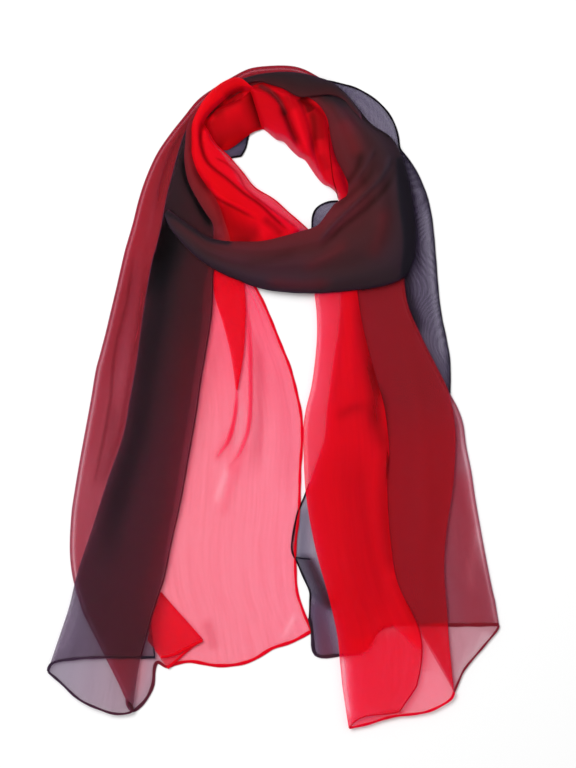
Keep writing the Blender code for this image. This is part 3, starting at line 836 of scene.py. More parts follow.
    def trim_folds(self, made: Cloth) -> None:
        """Makes the cloth look denser along its folded edges, with a fine line where it is thin."""
        folds = len(self.layers) - 1
        extra = self.fold_plies or (FOLD_PLIES,) * folds
        for column, (plies, rim) in enumerate(zip(extra, self.rims or (0.0,) * folds), start=1):
            before = np.flatnonzero(made.layer == column - 1)[-1]
            turned = np.arange(before + 1, before + FOLD_STEPS)
            edge = made.points[:, before, :2]
            away = np.linalg.norm(made.points[..., :2] - edge[:, None], axis=2)
            near = np.isin(made.layer, (-1, column - 1, column))
            made.plies += plies * np.exp(-(away / FOLD_REACH) ** 2) * near
            pale = np.exp(-((away - PALE_AT) / PALE_WIDTH) ** 2) * near
            made.plies *= 1 - rim * PALE_SHARE * pale
            made.plies[:, turned] += rim * HAIR_PLIES
            made.dye[:, turned] += rim * HAIR_DYE


def billow_at(downs: Array, shares: Array) -> Array:
    """How far an end's top layer stands up at a share of its width, growing down the end."""
    grown = np.clip((downs - BILLOW_FROM) / (BILLOW_FULL - BILLOW_FROM), 0.0, 1.0)
    wave = 1 - BILLOW_SWING + BILLOW_SWING * np.sin(2 * math.pi * downs / BILLOW_WAVE)
    return BILLOW * grown * wave * np.sin(math.pi * shares) ** 2


# ---------------------------------------------------------------- arched cloth
@dataclass(frozen=True)
class Arch:
    """One section of an arched stretch: two edges on the plan, the crown, the edges' heights."""

    inner: Spot
    outer: Spot
    crown: float
    inner_z: float = 0.0
    outer_z: float = 0.0

    def numbers(self) -> list[float]:
        """The section as a row of numbers, the crown last."""
        return [*self.inner, *self.outer, self.inner_z, self.outer_z, self.crown]


Arches = tuple[Arch, ...]


@dataclass
class ArchedCloth:
    """Gathered cloth that arches from one edge to the other, with both edges turned under."""

    name: str
    arches: Arches
    dyes: tuple[float, float]    # at the inner and the outer edge
    plies: float = 6.0
    tuck: float = 6.0            # how far each edge turns under
    tuck_share: float = 0.3      # and at most this share of the width
    crowding: float = 0.7        # how much closer the points lie towards the edges
    ripples: int = 3
    ripple: float = 0.16         # how much the ripples add to the crown
    ripple_from: float = 14.0    # width at which the ripples begin
    ripple_full: float = 32.0    # width at which they are full
    spacing: float = 1.6
    creases: Marks = ()

    def cloth(self) -> Cloth:
        """The arched cloth as a grid of points, with its creases pressed."""
        rows = np.array([arch.numbers() for arch in self.arches])
        length = length_of((rows[:, :2] + rows[:, 2:4]) / 2)
        rows = glide(rows, max(8, round(length / self.spacing)))
        widths = np.linalg.norm(rows[:, 2:4] - rows[:, :2], axis=1)
        steps = max(12, round(widths.max() / self.spacing))
        grid = np.stack([self.section(row, width, steps) for row, width in zip(rows, widths)])
        layer = np.zeros(grid.shape[1], int)
        layer[:2], layer[-2:] = -1, -1
        made = Cloth(self.name, grid[..., :3], grid[..., 3], layer)
        made.plies *= self.plies
        made.press(self.creases)
        return made

    def section(self, row: Array, width: float, steps: int) -> Array:
        """One section across the cloth.

        Args:
            row: The section's numbers, as Arch gives them.
            width: Distance between its edges.
            steps: How many sides its top has.

        Returns:
            A row of u, v, height and dye for each point.
        """
        inner, outer, (inner_z, outer_z, crown) = row[:2], row[2:4], row[4:]
        radius = PITCH / 2
        corner = radius * (1 - math.sqrt(0.5))
        tuck = min(self.tuck, self.tuck_share * width) + radius
        t = np.linspace(0.0, 1.0, steps + 1)
        drawn = t + ((1 - np.cos(math.pi * t)) / 2 - t) * self.crowding
        top = np.concatenate([[0.0, corner], radius + (width - 2 * radius) * drawn,
                              [width - corner, width]])
        share = top / width
        base = inner_z + (outer_z - inner_z) * share
        from_edge = np.minimum(1.0, np.minimum(top, width - top) / radius)
        folded = radius * np.sqrt(np.maximum(0.0, 1 - (1 - from_edge) ** 2))
        fullness = np.clip((width - self.ripple_from) / (self.ripple_full - self.ripple_from), 0, 1)
        rippled = 1 + self.ripple * fullness * (1 - np.cos(2 * math.pi * self.ripples * share)) / 2
        z = base + radius + np.maximum(folded, (crown + radius) * swell_at(share) * rippled)
        reach = np.concatenate([[tuck, radius], top, [width - radius, width - tuck]])
        height = np.concatenate([[inner_z, inner_z], z, [outer_z, outer_z]])
        spots = inner + (outer - inner) * (reach / width)[:, None]
        dye = self.dyes[0] + (self.dyes[1] - self.dyes[0]) * reach / width
        return np.concatenate([spots, height[:, None], dye[:, None]], axis=1)


# ---------------------------------------------------------------- cloth spread over forms
@dataclass(frozen=True)
class Relief:
    """Heights over the plan of the forms that the cloth lies on, softened as cloth would."""

    forms: tuple[Arches, ...]
    base: float = 0.6            # height where there is no form
    blur: float = 1.6            # how far a sharp edge is softened
    margin: int = 12             # how far the field reaches past the points
    reach: int = 6               # how far the softening looks

    def heights(self, points: Array) -> Array:
        """The softened height under each plan point.

        Args:
            points: Plan points, last axis (u, v).

        Returns:
            A height for each point.
        """
        low = points.reshape(-1, 2).min(axis=0) - self.margin
        count = np.ceil(points.reshape(-1, 2).max(axis=0) + self.margin - low).astype(int)
        field_of = np.full(count, self.base)
        for form in self.forms:
            spots, z = self.surface(form)
            at = (spots - low).astype(int)
            inside = np.all((at >= 0) & (at < count), axis=1)
            np.maximum.at(field_of, (at[inside, 0], at[inside, 1]), z[inside])
        kernel = np.exp(-0.5 * (np.arange(-self.reach, self.reach + 1) / self.blur) ** 2)
        kernel /= kernel.sum()
        padded = np.pad(field_of, self.reach, mode="edge")
        for axis in (0, 1):
            padded = np.apply_along_axis(np.convolve, axis, padded, kernel, mode="same")
        soft = padded[self.reach:-self.reach, self.reach:-self.reach]
        spot = np.clip(points - low - 0.5, 0, count - 1.001)
        corner = spot.astype(int)
        part = spot - corner
        i, j = corner[..., 0], corner[..., 1]
        x, y = part[..., 0], part[..., 1]
        i1, j1 = np.minimum(i + 1, count[0] - 1), np.minimum(j + 1, count[1] - 1)
        return (soft[i, j] * (1 - x) * (1 - y) + soft[i1, j] * x * (1 - y)
                + soft[i, j1] * (1 - x) * y + soft[i1, j1] * x * y)

    @staticmethod
    def surface(form: Arches) -> tuple[Array, Array]:
        """Closely spaced points on a form's top, with their heights."""
        rows = np.array([arch.numbers() for arch in form])
        rows = glide(rows, round(length_of(rows[:, :2]) + length_of(rows[:, 2:4])))
        share = np.linspace(0.0, 1.0, 120)
        spots = rows[:, None, :2] * (1 - share)[:, None] + rows[:, None, 2:4] * share[:, None]
        z = (rows[:, None, 4] * (1 - share) + rows[:, None, 5] * share
             + (rows[:, None, 6] + PITCH) * swell_at(share))
        return spots.reshape(-1, 2), z.ravel()


@dataclass(frozen=True)
class Edge:
    """How a spread cloth's edge ends.

    turned is how far it turns under, 0 for an edge that runs on beneath its neighbour. sheer is
    how wide a single layer stands beyond the gathered ones, at even steps along the cloth.
    """

    turned: float = 0.0
    sheer: Numbers = (0.0,)


@dataclass
class SpreadCloth:
    """Gathered cloth spread over rounded forms, from its inner to its outer edge.

    rows are pairs of plan points along the cloth, inner edge first; dyes is the dye at even
    steps from the inner edge to the outer one.
    """

    name: str
    rows: Rows
    relief: Relief
    dyes: Numbers
    plies: float = 5.0
    # painted shade over the whole cloth
    deep: float = 0.0
    inner: Edge = Edge()
    outer: Edge = Edge()
    spacing: float = 1.1
    creases: Marks = ()

    def cloth(self) -> Cloth:
        """The spread cloth as a grid of points, with its creases pressed."""
        rows = np.array(self.rows, float)
        length = np.linalg.norm(np.diff(rows, axis=0), axis=2).max(axis=1).sum()
        rows = glide(rows, round(length / self.spacing))
        width = np.linalg.norm(rows[:, 1] - rows[:, 0], axis=1)
        places = max(10, round(width.max() / self.spacing))
        share = np.linspace(0.0, 1.0, places)
        spots = rows[:, None, 0] * (1 - share)[:, None] + rows[:, None, 1] * share[:, None]
        z = self.relief.heights(spots) + CLOTH
        dye = np.tile(np.interp(share, np.linspace(0, 1, len(self.dyes)), self.dyes),
                      (len(rows), 1))
        plies = np.full(dye.shape, self.plies)
        for edge, away in ((self.inner, share * width[:, None]),
                           (self.outer, (1 - share) * width[:, None])):
            if max(edge.sheer) > 0:
                wide = np.interp(np.linspace(0.0, 1.0, len(rows)),
                                 np.linspace(0.0, 1.0, len(edge.sheer)), edge.sheer)[:, None]
                grown = np.where(wide > 0.5, np.clip((away - wide) / SHEER_BLEND, 0.0, 1.0), 1.0)
                plies = SHEER_PLIES_AND_SHADE + (plies - SHEER_PLIES_AND_SHADE) * grown
        grid = np.concatenate([spots, z[..., None], dye[..., None], plies[..., None]], axis=2)
        layer = np.zeros(places, int)
        if self.inner.turned:
            grid = np.concatenate([self.turn_under(grid[:, :3], self.inner.turned)[:, ::-1], grid], 1)
            layer = np.concatenate([[-1] * 3, layer])
        if self.outer.turned:
            grid = np.concatenate([grid, self.turn_under(grid[:, :-4:-1], self.outer.turned)], 1)
            layer = np.concatenate([layer, [-1] * 3])
        made = Cloth(self.name, grid[..., :3], grid[..., 3], layer, grid[..., 4])
        made.deep += self.deep
        made.press(self.creases)
        made.points[..., 2] = np.maximum(made.points[..., 2], CLOTH / 2)
        return made

    @staticmethod
    def turn_under(ends: Array, turned: float) -> Array:
        """Three columns that turn an edge under.

        Args:
            ends: The edge's column and the two beside it.
            turned: How far the edge turns under.

        Returns:
            The new columns, the nearest to the edge first.
        """
        edge = ends[:, 0]
        inward = unit(ends[:, 2, :2] - edge[:, :2])
        drop = np.minimum(PITCH, np.maximum(edge[:, 2] - CLOTH, 0.1))
        columns = []
        for out, down in (*TURNED_UNDER, (turned, 1.0)):
            column = edge.copy()
            column[:, :2] += inward * out
            column[:, 2] -= drop * down
            columns.append(column)
        return np.stack(columns, axis=1)


# ---------------------------------------------------------------- the scarf's stretches
@dataclass
class LeftEnd:
    """The left end, with its way up the left side and over the top of the turn.

    The cloth runs left from the red selvage along the table, turns at the outer fold, comes back
    to the tucked fold, runs left again on top to the upper fold, and ends in the black selvage.
    """

    downs: tuple[float, float] = (250.0, 614.0)
    red_selvage: Path = (
        (216, 249), (222, 258), (234, 268), (246, 277), (253, 284), (262, 300), (270, 318), (280, 343),
        (290, 368), (297, 395), (301, 415), (302, 440), (300, 470), (299, 510), (295.4, 545),
        (295.4, 572), (297, 592), (301, 605), (304.5, 615),
    )
    outer_fold: Path = (
        (125.4, 249), (121, 268), (116, 290), (110, 315), (106, 332), (100, 355), (96, 370), (91, 400),
        (85.5, 430), (80, 460), (75, 490), (71.5, 515), (70, 550), (73, 578), (80, 603), (84, 615),
    )
    tucked_fold: Path = (
        (217, 249), (215, 262), (213, 275), (212, 310), (207, 345), (201, 380), (196, 415), (189, 455),
        (181, 500), (172, 540), (165, 575), (159.5, 592), (152, 615),
    )
    upper_fold: Path = (
        (155.5, 249), (152, 262), (147, 290), (141, 330), (137, 360), (130, 400), (123, 437),
        (108, 480), (92, 530), (78, 572), (71, 601), (67, 615),
    )
    black_selvage: Path = (
        (212, 249), (208, 270), (203.5, 290), (201, 330), (195, 370), (189, 410), (182, 455),
        (175, 500), (167, 545), (162.5, 575), (156, 597), (150, 615),
    )
    turn_back: Rows = (
        ((333, 95), (333, 84.5), (333, 95)), ((317, 91), (321, 78.5), (317, 90.5)),
        ((300, 86), (304, 69.5), (300, 85)), ((285, 83), (289, 66), (285, 82)),
        ((269, 83), (268, 66.2), (269, 82)), ((255, 86), (249, 69), (255, 85)),
        ((241, 93), (231, 78), (241, 92)), ((228, 101), (214.5, 88), (227, 101)),
        ((216, 112), (198, 100), (215, 112)), ((206, 123), (184, 117), (205, 123)),
        ((200, 137), (170.5, 134), (199, 137)), ((197, 155), (157, 154), (196, 155)),
        ((201, 178), (146.5, 177), (200, 178)), ((207, 200), (138.8, 200), (206, 200)),
        ((214, 224), (132.8, 224), (213, 224)), ((216, 250), (125.2, 250), (217, 250)),
    )
    turn_front: Rows = (
        ((362, 121), (360, 113), (361, 120)), ((352, 110), (351, 101), (351, 109)),
        ((343, 100), (341, 90), (343, 99)), ((331, 95), (330, 82), (331, 94)),
        ((315, 96), (317, 77.6), (315, 95)), ((299, 97), (303, 74), (299, 96)),
        ((285, 89.5), (286, 72.5), (285, 89)), ((270, 84.5), (268.5, 73.5), (270, 84)),
        ((257, 81.5), (252.5, 76.3), (257, 81)), ((243, 86), (237, 81.5), (242, 86)),
        ((226, 99), (220, 90.5), (225, 99)), ((214, 111), (205.5, 103), (213, 111)),
        ((204, 122), (193.5, 119), (203, 122)), ((198, 136), (184.5, 134), (197, 136)),
        ((197, 155), (178, 154), (196, 155)), ((202, 178), (171.5, 178), (200, 178)),
        ((209, 200), (166, 200), (207, 200)), ((216, 225), (161.5, 225), (213, 225)),
        ((217, 250), (155.5, 250), (212, 250)),
    )
    turn_lifts: Numbers = (4.5, 3.2, 2.2, 1.8, 1.6, 1.5, 1.2, 0.8, 0.4) + (0.0,) * 10
    hem_back: Path = (
        (311.3, 631), (293.6, 641), (272, 648.4), (254.3, 659), (236.4, 664.5), (215, 665.4),
        (191.8, 661.4), (175.7, 663.6), (167, 667), (158, 662), (154.5, 668), (153, 684), (147.5, 697),
        (140, 706), (133, 710.8), (128.5, 706.5), (127, 699.5),
    )
    hem_front: Path = (
        (129, 702), (132.5, 707.5), (132, 711), (124, 713.2), (114, 712.8), (103, 709.5), (80, 699),
        (60, 681), (48, 671),
    )
    hem_under: Path = ((48, 671), (54, 662), (80, 658), (105, 657), (155, 657))
    hem_join: Path = ((127, 699.5), (128, 701), (129, 702))
    red_hem_from: float = 262.0  # v from which each selvage shows
    black_hem_from: float = 646.0
    tucked_line: tuple[int, int] = (10, -11)  # the stations between which the tucked fold shows
    dyes: Numbers = (0.0, 0.455, 0.69, 0.855, 1.0)
    hem_pleat: Rows = (
        ((160, 592.5), (161, 591.5), (160, 592.5)), ((155.5, 606), (174, 606.5), (155.5, 606)),
        ((150.5, 622), (189, 623), (150.5, 622)), ((147.8, 640), (202, 638), (147.8, 640)),
    )
    pleat_hems: Rows = (
        ((167.5, 668), (179, 658), (190, 648), (203, 640)),
        ((203, 640), (182, 650.5), (172, 655), (161, 657)),
    )
    pleat_creases: Marks = (
        # Painted shadow along the pleat, next to the edge of the black layer over it.
        Crease(((162, 588), (157, 605), (153, 625), (150, 645)), 9.0, deep=0.6, layer=1, fade=0.0),
    )
    inner_pleat: Rows = (
        ((214.5, 262), (241, 264), (214.5, 262)), ((214, 292), (245.5, 295), (214, 292)),
        ((223.5, 325), (245.5, 325), (223.5, 325)), ((231, 355), (243.5, 355), (231, 355)),
        ((236, 390), (237.5, 390), (236, 390)),
    )
    # Creases of the left end, with painted shade in their hollows.
    back_creases: Marks = (
        Crease(((237, 380), (236.5, 400), (234.5, 418), (231, 433), (225, 446), (214, 460)), 1.5, 0.9,
               1.7, fade=0.35),
        Crease(((246.5, 300), (250, 345), (250.5, 400), (249, 425), (245, 440), (238, 455),
                (226, 472)), 1.7, 1.0, 1.3, fade=0.3),
        Crease(((257, 330), (260, 380), (259, 430), (253, 480)), 6.0, -0.6, 0.25, deep=0.16),
        Crease(((242, 400), (241, 430), (232, 452)), 3.0, -0.4, -0.12, deep=0.1),
        Crease(((228, 464), (222, 482), (214, 505)), 3.4, 0.9, -0.22),
        Crease(((233, 425), (226, 446), (214, 462)), 6.0, plies=0.22),
        Crease(((246, 440), (240, 458), (230, 476)), 5.0, plies=0.2),
        Crease(((240, 462), (231, 488), (221, 520)), 5.0, 0.8, 0.16),
        Crease(((219, 330), (209, 380), (200, 430), (191, 480)), 6.0, 0.4, 0.10, deep=0.1),
        Crease(((272, 350), (282, 400), (286, 450), (284, 500)), 8.0, 0.5, 0.10, deep=0.05),
        Crease(((205, 618), (211, 636), (215, 652)), 6.0, 0.3, 0.25, deep=0.12),
        Crease(((296, 612), (288, 628), (282, 640)), 3.0, 0.6, -0.22),
        Crease(((152, 648), (152, 675), (146, 698), (135, 712)), 12.0, dye=0.30, fade=0.0),
    ) + on_layer(
        1,
        Patch(((104, 657), (152, 657), (129, 706)), 6.0, dye=-0.17),
        Crease(((133, 255), (127, 300), (118, 335), (113, 365), (111, 395), (107, 420), (101, 450),
                (93, 490)), 1.5, 0.6, 0.75, deep=0.35, fade=0.12),
        Crease(((128, 250), (121, 300), (111, 343), (102, 396), (94, 440), (86, 480)), 5.0, plies=0.25),
        Crease(((140, 240), (132, 300), (125, 343), (119, 385), (115, 405)), 4.5, plies=-0.20,
               dye=0.04),
        Crease(((116, 395), (113, 425), (108, 455), (98, 495)), 5.5, plies=0.3, deep=0.2),
        Crease(((147, 250), (142, 300), (135.5, 343), (127, 396), (118, 440), (103, 482)), 3.0,
               plies=0.7, deep=0.1),
        Crease(((196, 112), (177, 140), (163, 168), (154, 205), (146, 250)), 2.2, 0.7, -0.5, dye=0.05),
        Crease(((203, 103), (184, 128), (170, 158), (162, 185), (155, 215)), 3.0, -0.6, 0.8, deep=0.2),
        Crease(((94, 520), (90, 560), (88, 590)), 4.0, 0.4, -0.25),
    )
    # Outline of the painted shadow that the band's left end casts on the cloth below.
    band_shadow: Path = (
        (166, 212), (176, 230), (181, 248), (172, 268), (160, 284), (146, 290), (150, 258), (158, 228),
    )
    # Creases of the left end's front layers, with painted shade in them and painted shadows under the
    # band.
    front_creases: Marks = (
        Crease(((80, 590), (66, 640), (58, 660)), 4.0, 0.8, -0.35),
        Crease(((172, 215), (166, 262), (159, 310), (151, 350), (144, 400), (136, 440), (124, 480),
                (114, 520), (104, 575)), 11.0, plies=0.8, deep=0.3, dye=0.12, fade=0.2),
        # Painted shadow under the band's left end, on both layers: more plies, painted shade and darker
        # dye.
        Patch(band_shadow, 26.0, -0.6, plies=0.5, deep=0.6, dye=0.15),
        # A smaller, darker core of that painted shadow.
        Patch(((165, 216), (172, 232), (172, 246), (163, 260), (148, 262), (156, 236)), 12.0,
              plies=0.4, deep=0.45, dye=0.15),
        Patch(band_shadow, 26.0, plies=0.5, deep=0.6, dye=0.15, layer=1),
        # Painted shadow: a narrow black line down the left of the dark roll, thickening towards the
        # band.
        Crease(((183, 150), (184, 170), (189, 187), (197, 202), (206, 216), (211, 227)), 2.6, -0.6,
               plies=0.8, deep=1.0, dye=0.15, fade=0.2),
        Crease(((195, 197), (202, 209), (208, 219), (212.5, 230)), 4.0, -0.5,
               plies=0.8, deep=1.0, dye=0.2, fade=0.35),
        Crease(((245, 82), (270, 80), (300, 87), (330, 90), (352, 103)), 9.0, plies=0.5, deep=0.2),
        Crease(((190, 300), (187, 350), (182, 400), (177, 450), (171, 500), (160, 555), (147, 600),
                (142, 640)), 10.0, 0.4, deep=-0.1, dye=-0.08),
    )

    def build(self) -> list[Piece]:
        """Builds the left end's cloth and hems.

        Returns:
            The pieces, the cloth before its hems.
        """
        back = FoldedCloth(
            "left_back_cloth", (0, 1), self.dyes[:3],
            (self.red_selvage, self.outer_fold, self.tucked_fold), self.downs,
            (self.hem_back, self.hem_join), self.turn_back, turn_dyes=(0.28, 0.43, 0.60),
            turn_plies=(2.0, 2.2, 2.2, 2.2, 2.1, 1.9, 1.7, 1.55), fold_plies=(0.1,), rims=(1.0,),
            spacing=4.6, creases=self.back_creases).cloth()
        front = FoldedCloth(
            "left_front_cloth", (3, 2), self.dyes[2:],
            (self.tucked_fold, self.upper_fold, self.black_selvage), self.downs,
            (self.hem_front, self.hem_under), self.turn_front,
            turn_lifts=self.turn_lifts, turn_plies=(4.0, 4.0, 4.0, 4.0, 4.0, 3.0, 2.2, 1.7, 1.4),
            fold_plies=(0.2,), rims=(0.12,), billow=0, creases=self.front_creases).cloth()
        hem_pleat = FoldedCloth("hem_pleat_cloth", (1, 2), (0.20, 0.26, 0.24), turn=self.hem_pleat,
                                ends=self.pleat_hems, end_reach=26.0, spacing=1.6,
                                creases=self.pleat_creases).cloth()
        inner_pleat = FoldedCloth("inner_pleat_cloth", (1, 2), (0.10, 0.16, 0.10),
                                  turn=self.inner_pleat, spacing=2.0).cloth()
        hems = sew_hems(
            ("left_red_selvage_hem", RED_HEM, below(back.line(0), self.red_hem_from), Slot.BRIGHT_RED),
            ("left_back_end_hem", replace(RED_HEM, half_width=1.6), back.end(0), Slot.BRIGHT_RED),
            ("left_front_end_hem", replace(HEM, half_width=1.2), front.end(0), Slot.DARK_GREY),
            ("left_under_end_hem", replace(HEM, half_width=1.4), front.end(1), Slot.DARK_GREY),
            ("left_black_selvage_hem", replace(FINE_HEM, deep=0.4),
             below(front.line(-1), self.black_hem_from), Slot.DARK_GREY),
            ("left_tucked_fold_line", FINE_HEM, front.line(0)[slice(*self.tucked_line)],
             Slot.MAROON),
        )
        pleat_hems = sew_hems(*((f"hem_pleat_hem_{layer}", RED_HEM, hem_pleat.end(layer),
                                 Slot.BRIGHT_RED) for layer in (0, 1)))
        pieces = [
            dress(back.piece(CHIFFON), Slot.PINK_RED, "left_tail_back", "turn_back"),
            dress(front.piece(CHIFFON), Slot.PLUM, "left_tail_front", "turn_front"),
            dress(hem_pleat.piece(CHIFFON), Slot.DEEP_RED, "hem_pleat"),
            dress(inner_pleat.piece(CHIFFON), Slot.BRIGHT_RED, "inner_pleat"),
        ]
        return pieces + hems + pleat_hems


@dataclass
class RightEnd:
    """The right end, which comes out from under the band.

    The cloth runs right from the black selvage along the table, turns at the outer fold and comes
    back to a pleat; past the pleat it runs left to the left fold and ends in the red selvage.
    """

    back_downs: tuple[float, float] = (266.0, 600.0)
    front_downs: tuple[float, float] = (266.0, 686.0)
    black_selvage: Path = (
        (342, 265), (341.6, 295), (339, 331), (333, 368), (327, 412), (325, 438), (318, 459),
        (307, 490), (303, 500), (297, 515), (292.5, 538), (292, 551), (297, 562), (304, 578),
        (310, 592), (310, 601),
    )
    outer_fold: Path = (
        (402, 265), (406, 300), (420, 335), (435, 365), (450, 394), (457.5, 408), (463, 424),
        (466, 446), (471, 471), (475, 498), (479.5, 524), (486, 559), (492, 589), (495, 601),
    )
    pleat_back: Path = (
        (354, 265), (355, 291), (361, 328), (372, 371), (381, 402), (385, 427), (387, 456),
        (385.5, 490), (388, 538), (394, 578), (402, 601),
    )
    pleat_front: Path = (
        (355, 265), (356, 291), (362, 328), (373, 371), (382, 402), (386, 427), (388, 456), (386, 490),
        (389, 538), (395, 578), (406, 603), (413.5, 616), (424, 636), (439.5, 662), (452, 687),
    )
    pleat_fold: Path = (
        (403, 265), (405, 290), (409, 309), (421, 336), (434, 362), (447, 388), (452, 407), (455, 427),
        (455.5, 446), (453, 485), (446.5, 530), (444, 570), (447, 610), (449, 641), (453.5, 687),
    )
    left_fold: Path = (
        (313, 265), (314.5, 293), (316.5, 312), (317, 335), (315, 361), (311.5, 386), (306, 409),
        (303.5, 426), (303.5, 449), (306, 495), (315, 546), (329, 598), (337, 633), (340, 662),
        (342.5, 687),
    )
    red_selvage: Path = tuple((u + 1, v) for u, v in pleat_front[:10]) + (
        (408, 606), (418, 627), (421.5, 645), (420.5, 665), (416, 687),
    )
    hem_back: Path = (
        (309.5, 618), (312, 633), (316, 655), (339, 655), (356, 653), (366, 648), (378, 631),
        (392, 624.5), (412, 624), (449, 625), (498.8, 624.5),
    )
    hem_outer: Path = ((498.8, 624.5), (496, 631), (481, 649), (465, 668), (459, 680), (454, 692))
    hem_pleat: Path = ((453, 691), (453.5, 691), (454, 691))
    hem_front: Path = (
        (454, 691), (451, 698), (441, 705), (423.5, 712), (392, 716), (369, 723), (348.6, 727.5),
    )
    hem_top: Path = ((348.6, 727.5), (357, 719), (369, 714.5), (388, 713), (399, 711))
    dyes: Numbers = (1.0, 0.515, 0.48, 0.435, 0.10, 0.0)
    # Creases and extra layers of the right end's back, with painted shade in the corner by the black
    # selvage.
    back_creases: Marks = (
        Crease(((460, 465), (463, 510), (466, 560), (476, 640)), 18.0, plies=0.3, dye=-0.12,
               fade=0.1),
        # More layers in the corner by the black selvage, with painted shade over them and in the fold
        # below.
        Patch(((294, 558), (311, 558), (334, 606), (324, 606), (309, 592)), 7.0, plies=0.9, deep=0.2),
        Crease(((311, 563), (320, 585), (330, 602)), 6.0, -0.4, plies=0.9, deep=0.3, dye=-0.2,
               fade=0.0),
        Crease(((318, 610), (322, 632), (326, 652)), 13.0, 0.4, plies=1.5, dye=-0.18, fade=0.0),
        Crease(((303, 515), (303, 535), (303, 552)), 7.0, plies=0.5, fade=0.0),
        Crease(((460, 424), (466, 465), (472, 505), (479, 545), (485, 580)), 4.5, plies=-0.25,
               layer=(0, 1)),
        Crease(((492, 632), (473, 660), (458, 684)), 9.0, plies=-0.3, dye=0.02, layer=1, fade=0.1),
        Crease(((481, 520), (474, 545), (470, 575), (473, 600)), 4.0, 0.6, -0.25, layer=1),
    )
    low_end: Path = (
        (350, 640), (418, 630), (420, 660), (415, 690), (404, 711), (372, 712), (356, 716), (352, 680),
    )
    flap: Path = ((414, 628), (456, 628), (460, 694), (440, 668))
    left_rim: Path = ((343, 655), (344, 690), (348, 715))
    # Creases of the right end's front, with painted shade in their hollows and painted shadows along
    # the pleat.
    front_creases: Marks = (
        Patch(flap, 9.0, dye=-0.15),
        Patch(((370, 430), (490, 430), (490, 650), (370, 650)), 70.0, dye=-0.045, layer=(0, 1)),
    ) + on_layer(
        1,
        Patch(low_end, 10.0, plies=0.2),
        Patch(((330, 650), (418, 630), (460, 690), (440, 730), (340, 740)), 20.0, dye=-0.13),
        Patch(flap, 9.0, dye=-0.12),
        # Painted shadow under the pleat's edge.
        Crease(((379, 382), (384, 402), (386, 420), (387, 445)), 3.0, deep=0.5),
        Crease(((398, 300), (412, 360), (424, 430), (428, 500), (424, 560), (432, 640)), 6.0, 0.8, 0.2),
        Crease(left_rim, 3.2, plies=-0.4, fade=0.1),
        Crease(((430, 690), (440, 700)), 22.0, dye=-0.12, fade=0.0),
        Crease(((424, 636), (424, 652), (424, 672)), 8.0, plies=0.3),
        Patch(((346, 719), (372, 713), (394, 709), (404, 712), (380, 722), (346, 734)), 4.0, plies=0.6),
    ) + on_layer(
        2,
        Patch(((341.7, 262), *black_selvage[1:8], (290, 520), (290, 655), (339, 655), (356, 653),
               (366, 648), (372, 640), (378, 631), (392, 624.5), (440, 624), (440, 262)), 4.5,
              plies=1.3),
        Patch(low_end, 10.0, plies=0.4),
        Crease(((334, 250), (333, 300), (330, 345), (326, 390)), 14.0, plies=0.3, fade=0.35),
        Crease(((352, 285), (353, 320), (352, 360), (353, 395)), 5.5, 1.6),
        Crease(((342, 300), (340, 345), (336, 385), (331, 410)), 2.6, deep=0.12),
        # Painted shadow down the hollow beside the pleat, and a soft trough of painted shade across it.
        Crease(((361, 285), (364, 312), (368, 342), (372, 372), (376, 395), (375, 414), (382, 452)),
               8.5, -0.35, deep=0.62),
        Crease(((368, 355), (375, 380), (380, 400)), 5.0, deep=0.25, fade=0.3),
        Crease(((334, 421), (346, 412), (358, 408), (370, 407)), 5.0, -0.9, deep=0.25, fade=0.3),
        # Painted shadow along the pleat's edge, narrowing to a black slit of painted shadow.
        Crease(((386, 425), (387, 460), (385, 500), (388, 540), (395, 575)), 8.0, -0.2, deep=0.32,
               fade=0.1),
        Crease(((396, 575), (408, 605), (417, 625)), 5.0, deep=0.2, fade=0.1),
        Crease(((387, 446), (388, 460), (387.5, 473), (386, 487)), 1.5, deep=1.0, fade=0.45),
        Crease(((335, 440), (342, 500), (352, 560), (366, 620)), 9.0, 0.8),
        Crease(((343, 440), (351, 520), (361, 600), (366, 645)), 20.0, deep=0.12),
        Crease(((360, 440), (364, 500), (374, 560), (388, 620)), 7.0, -0.6, deep=0.1),
        Crease(((376, 470), (379, 520), (386, 570), (400, 615)), 6.0, 0.7),
        Crease(left_rim, 3.2, plies=-0.5, fade=0.1),
    )
    black_hem_from: float = 480.0  # v from which each selvage shows
    red_hem_from: float = 604.0
    corner_lift: float = 0.4     # how far the corner's hem stands off its cloth
    corner: Path = ((295.6, 557.4), (302, 558.3), (309.8, 559))

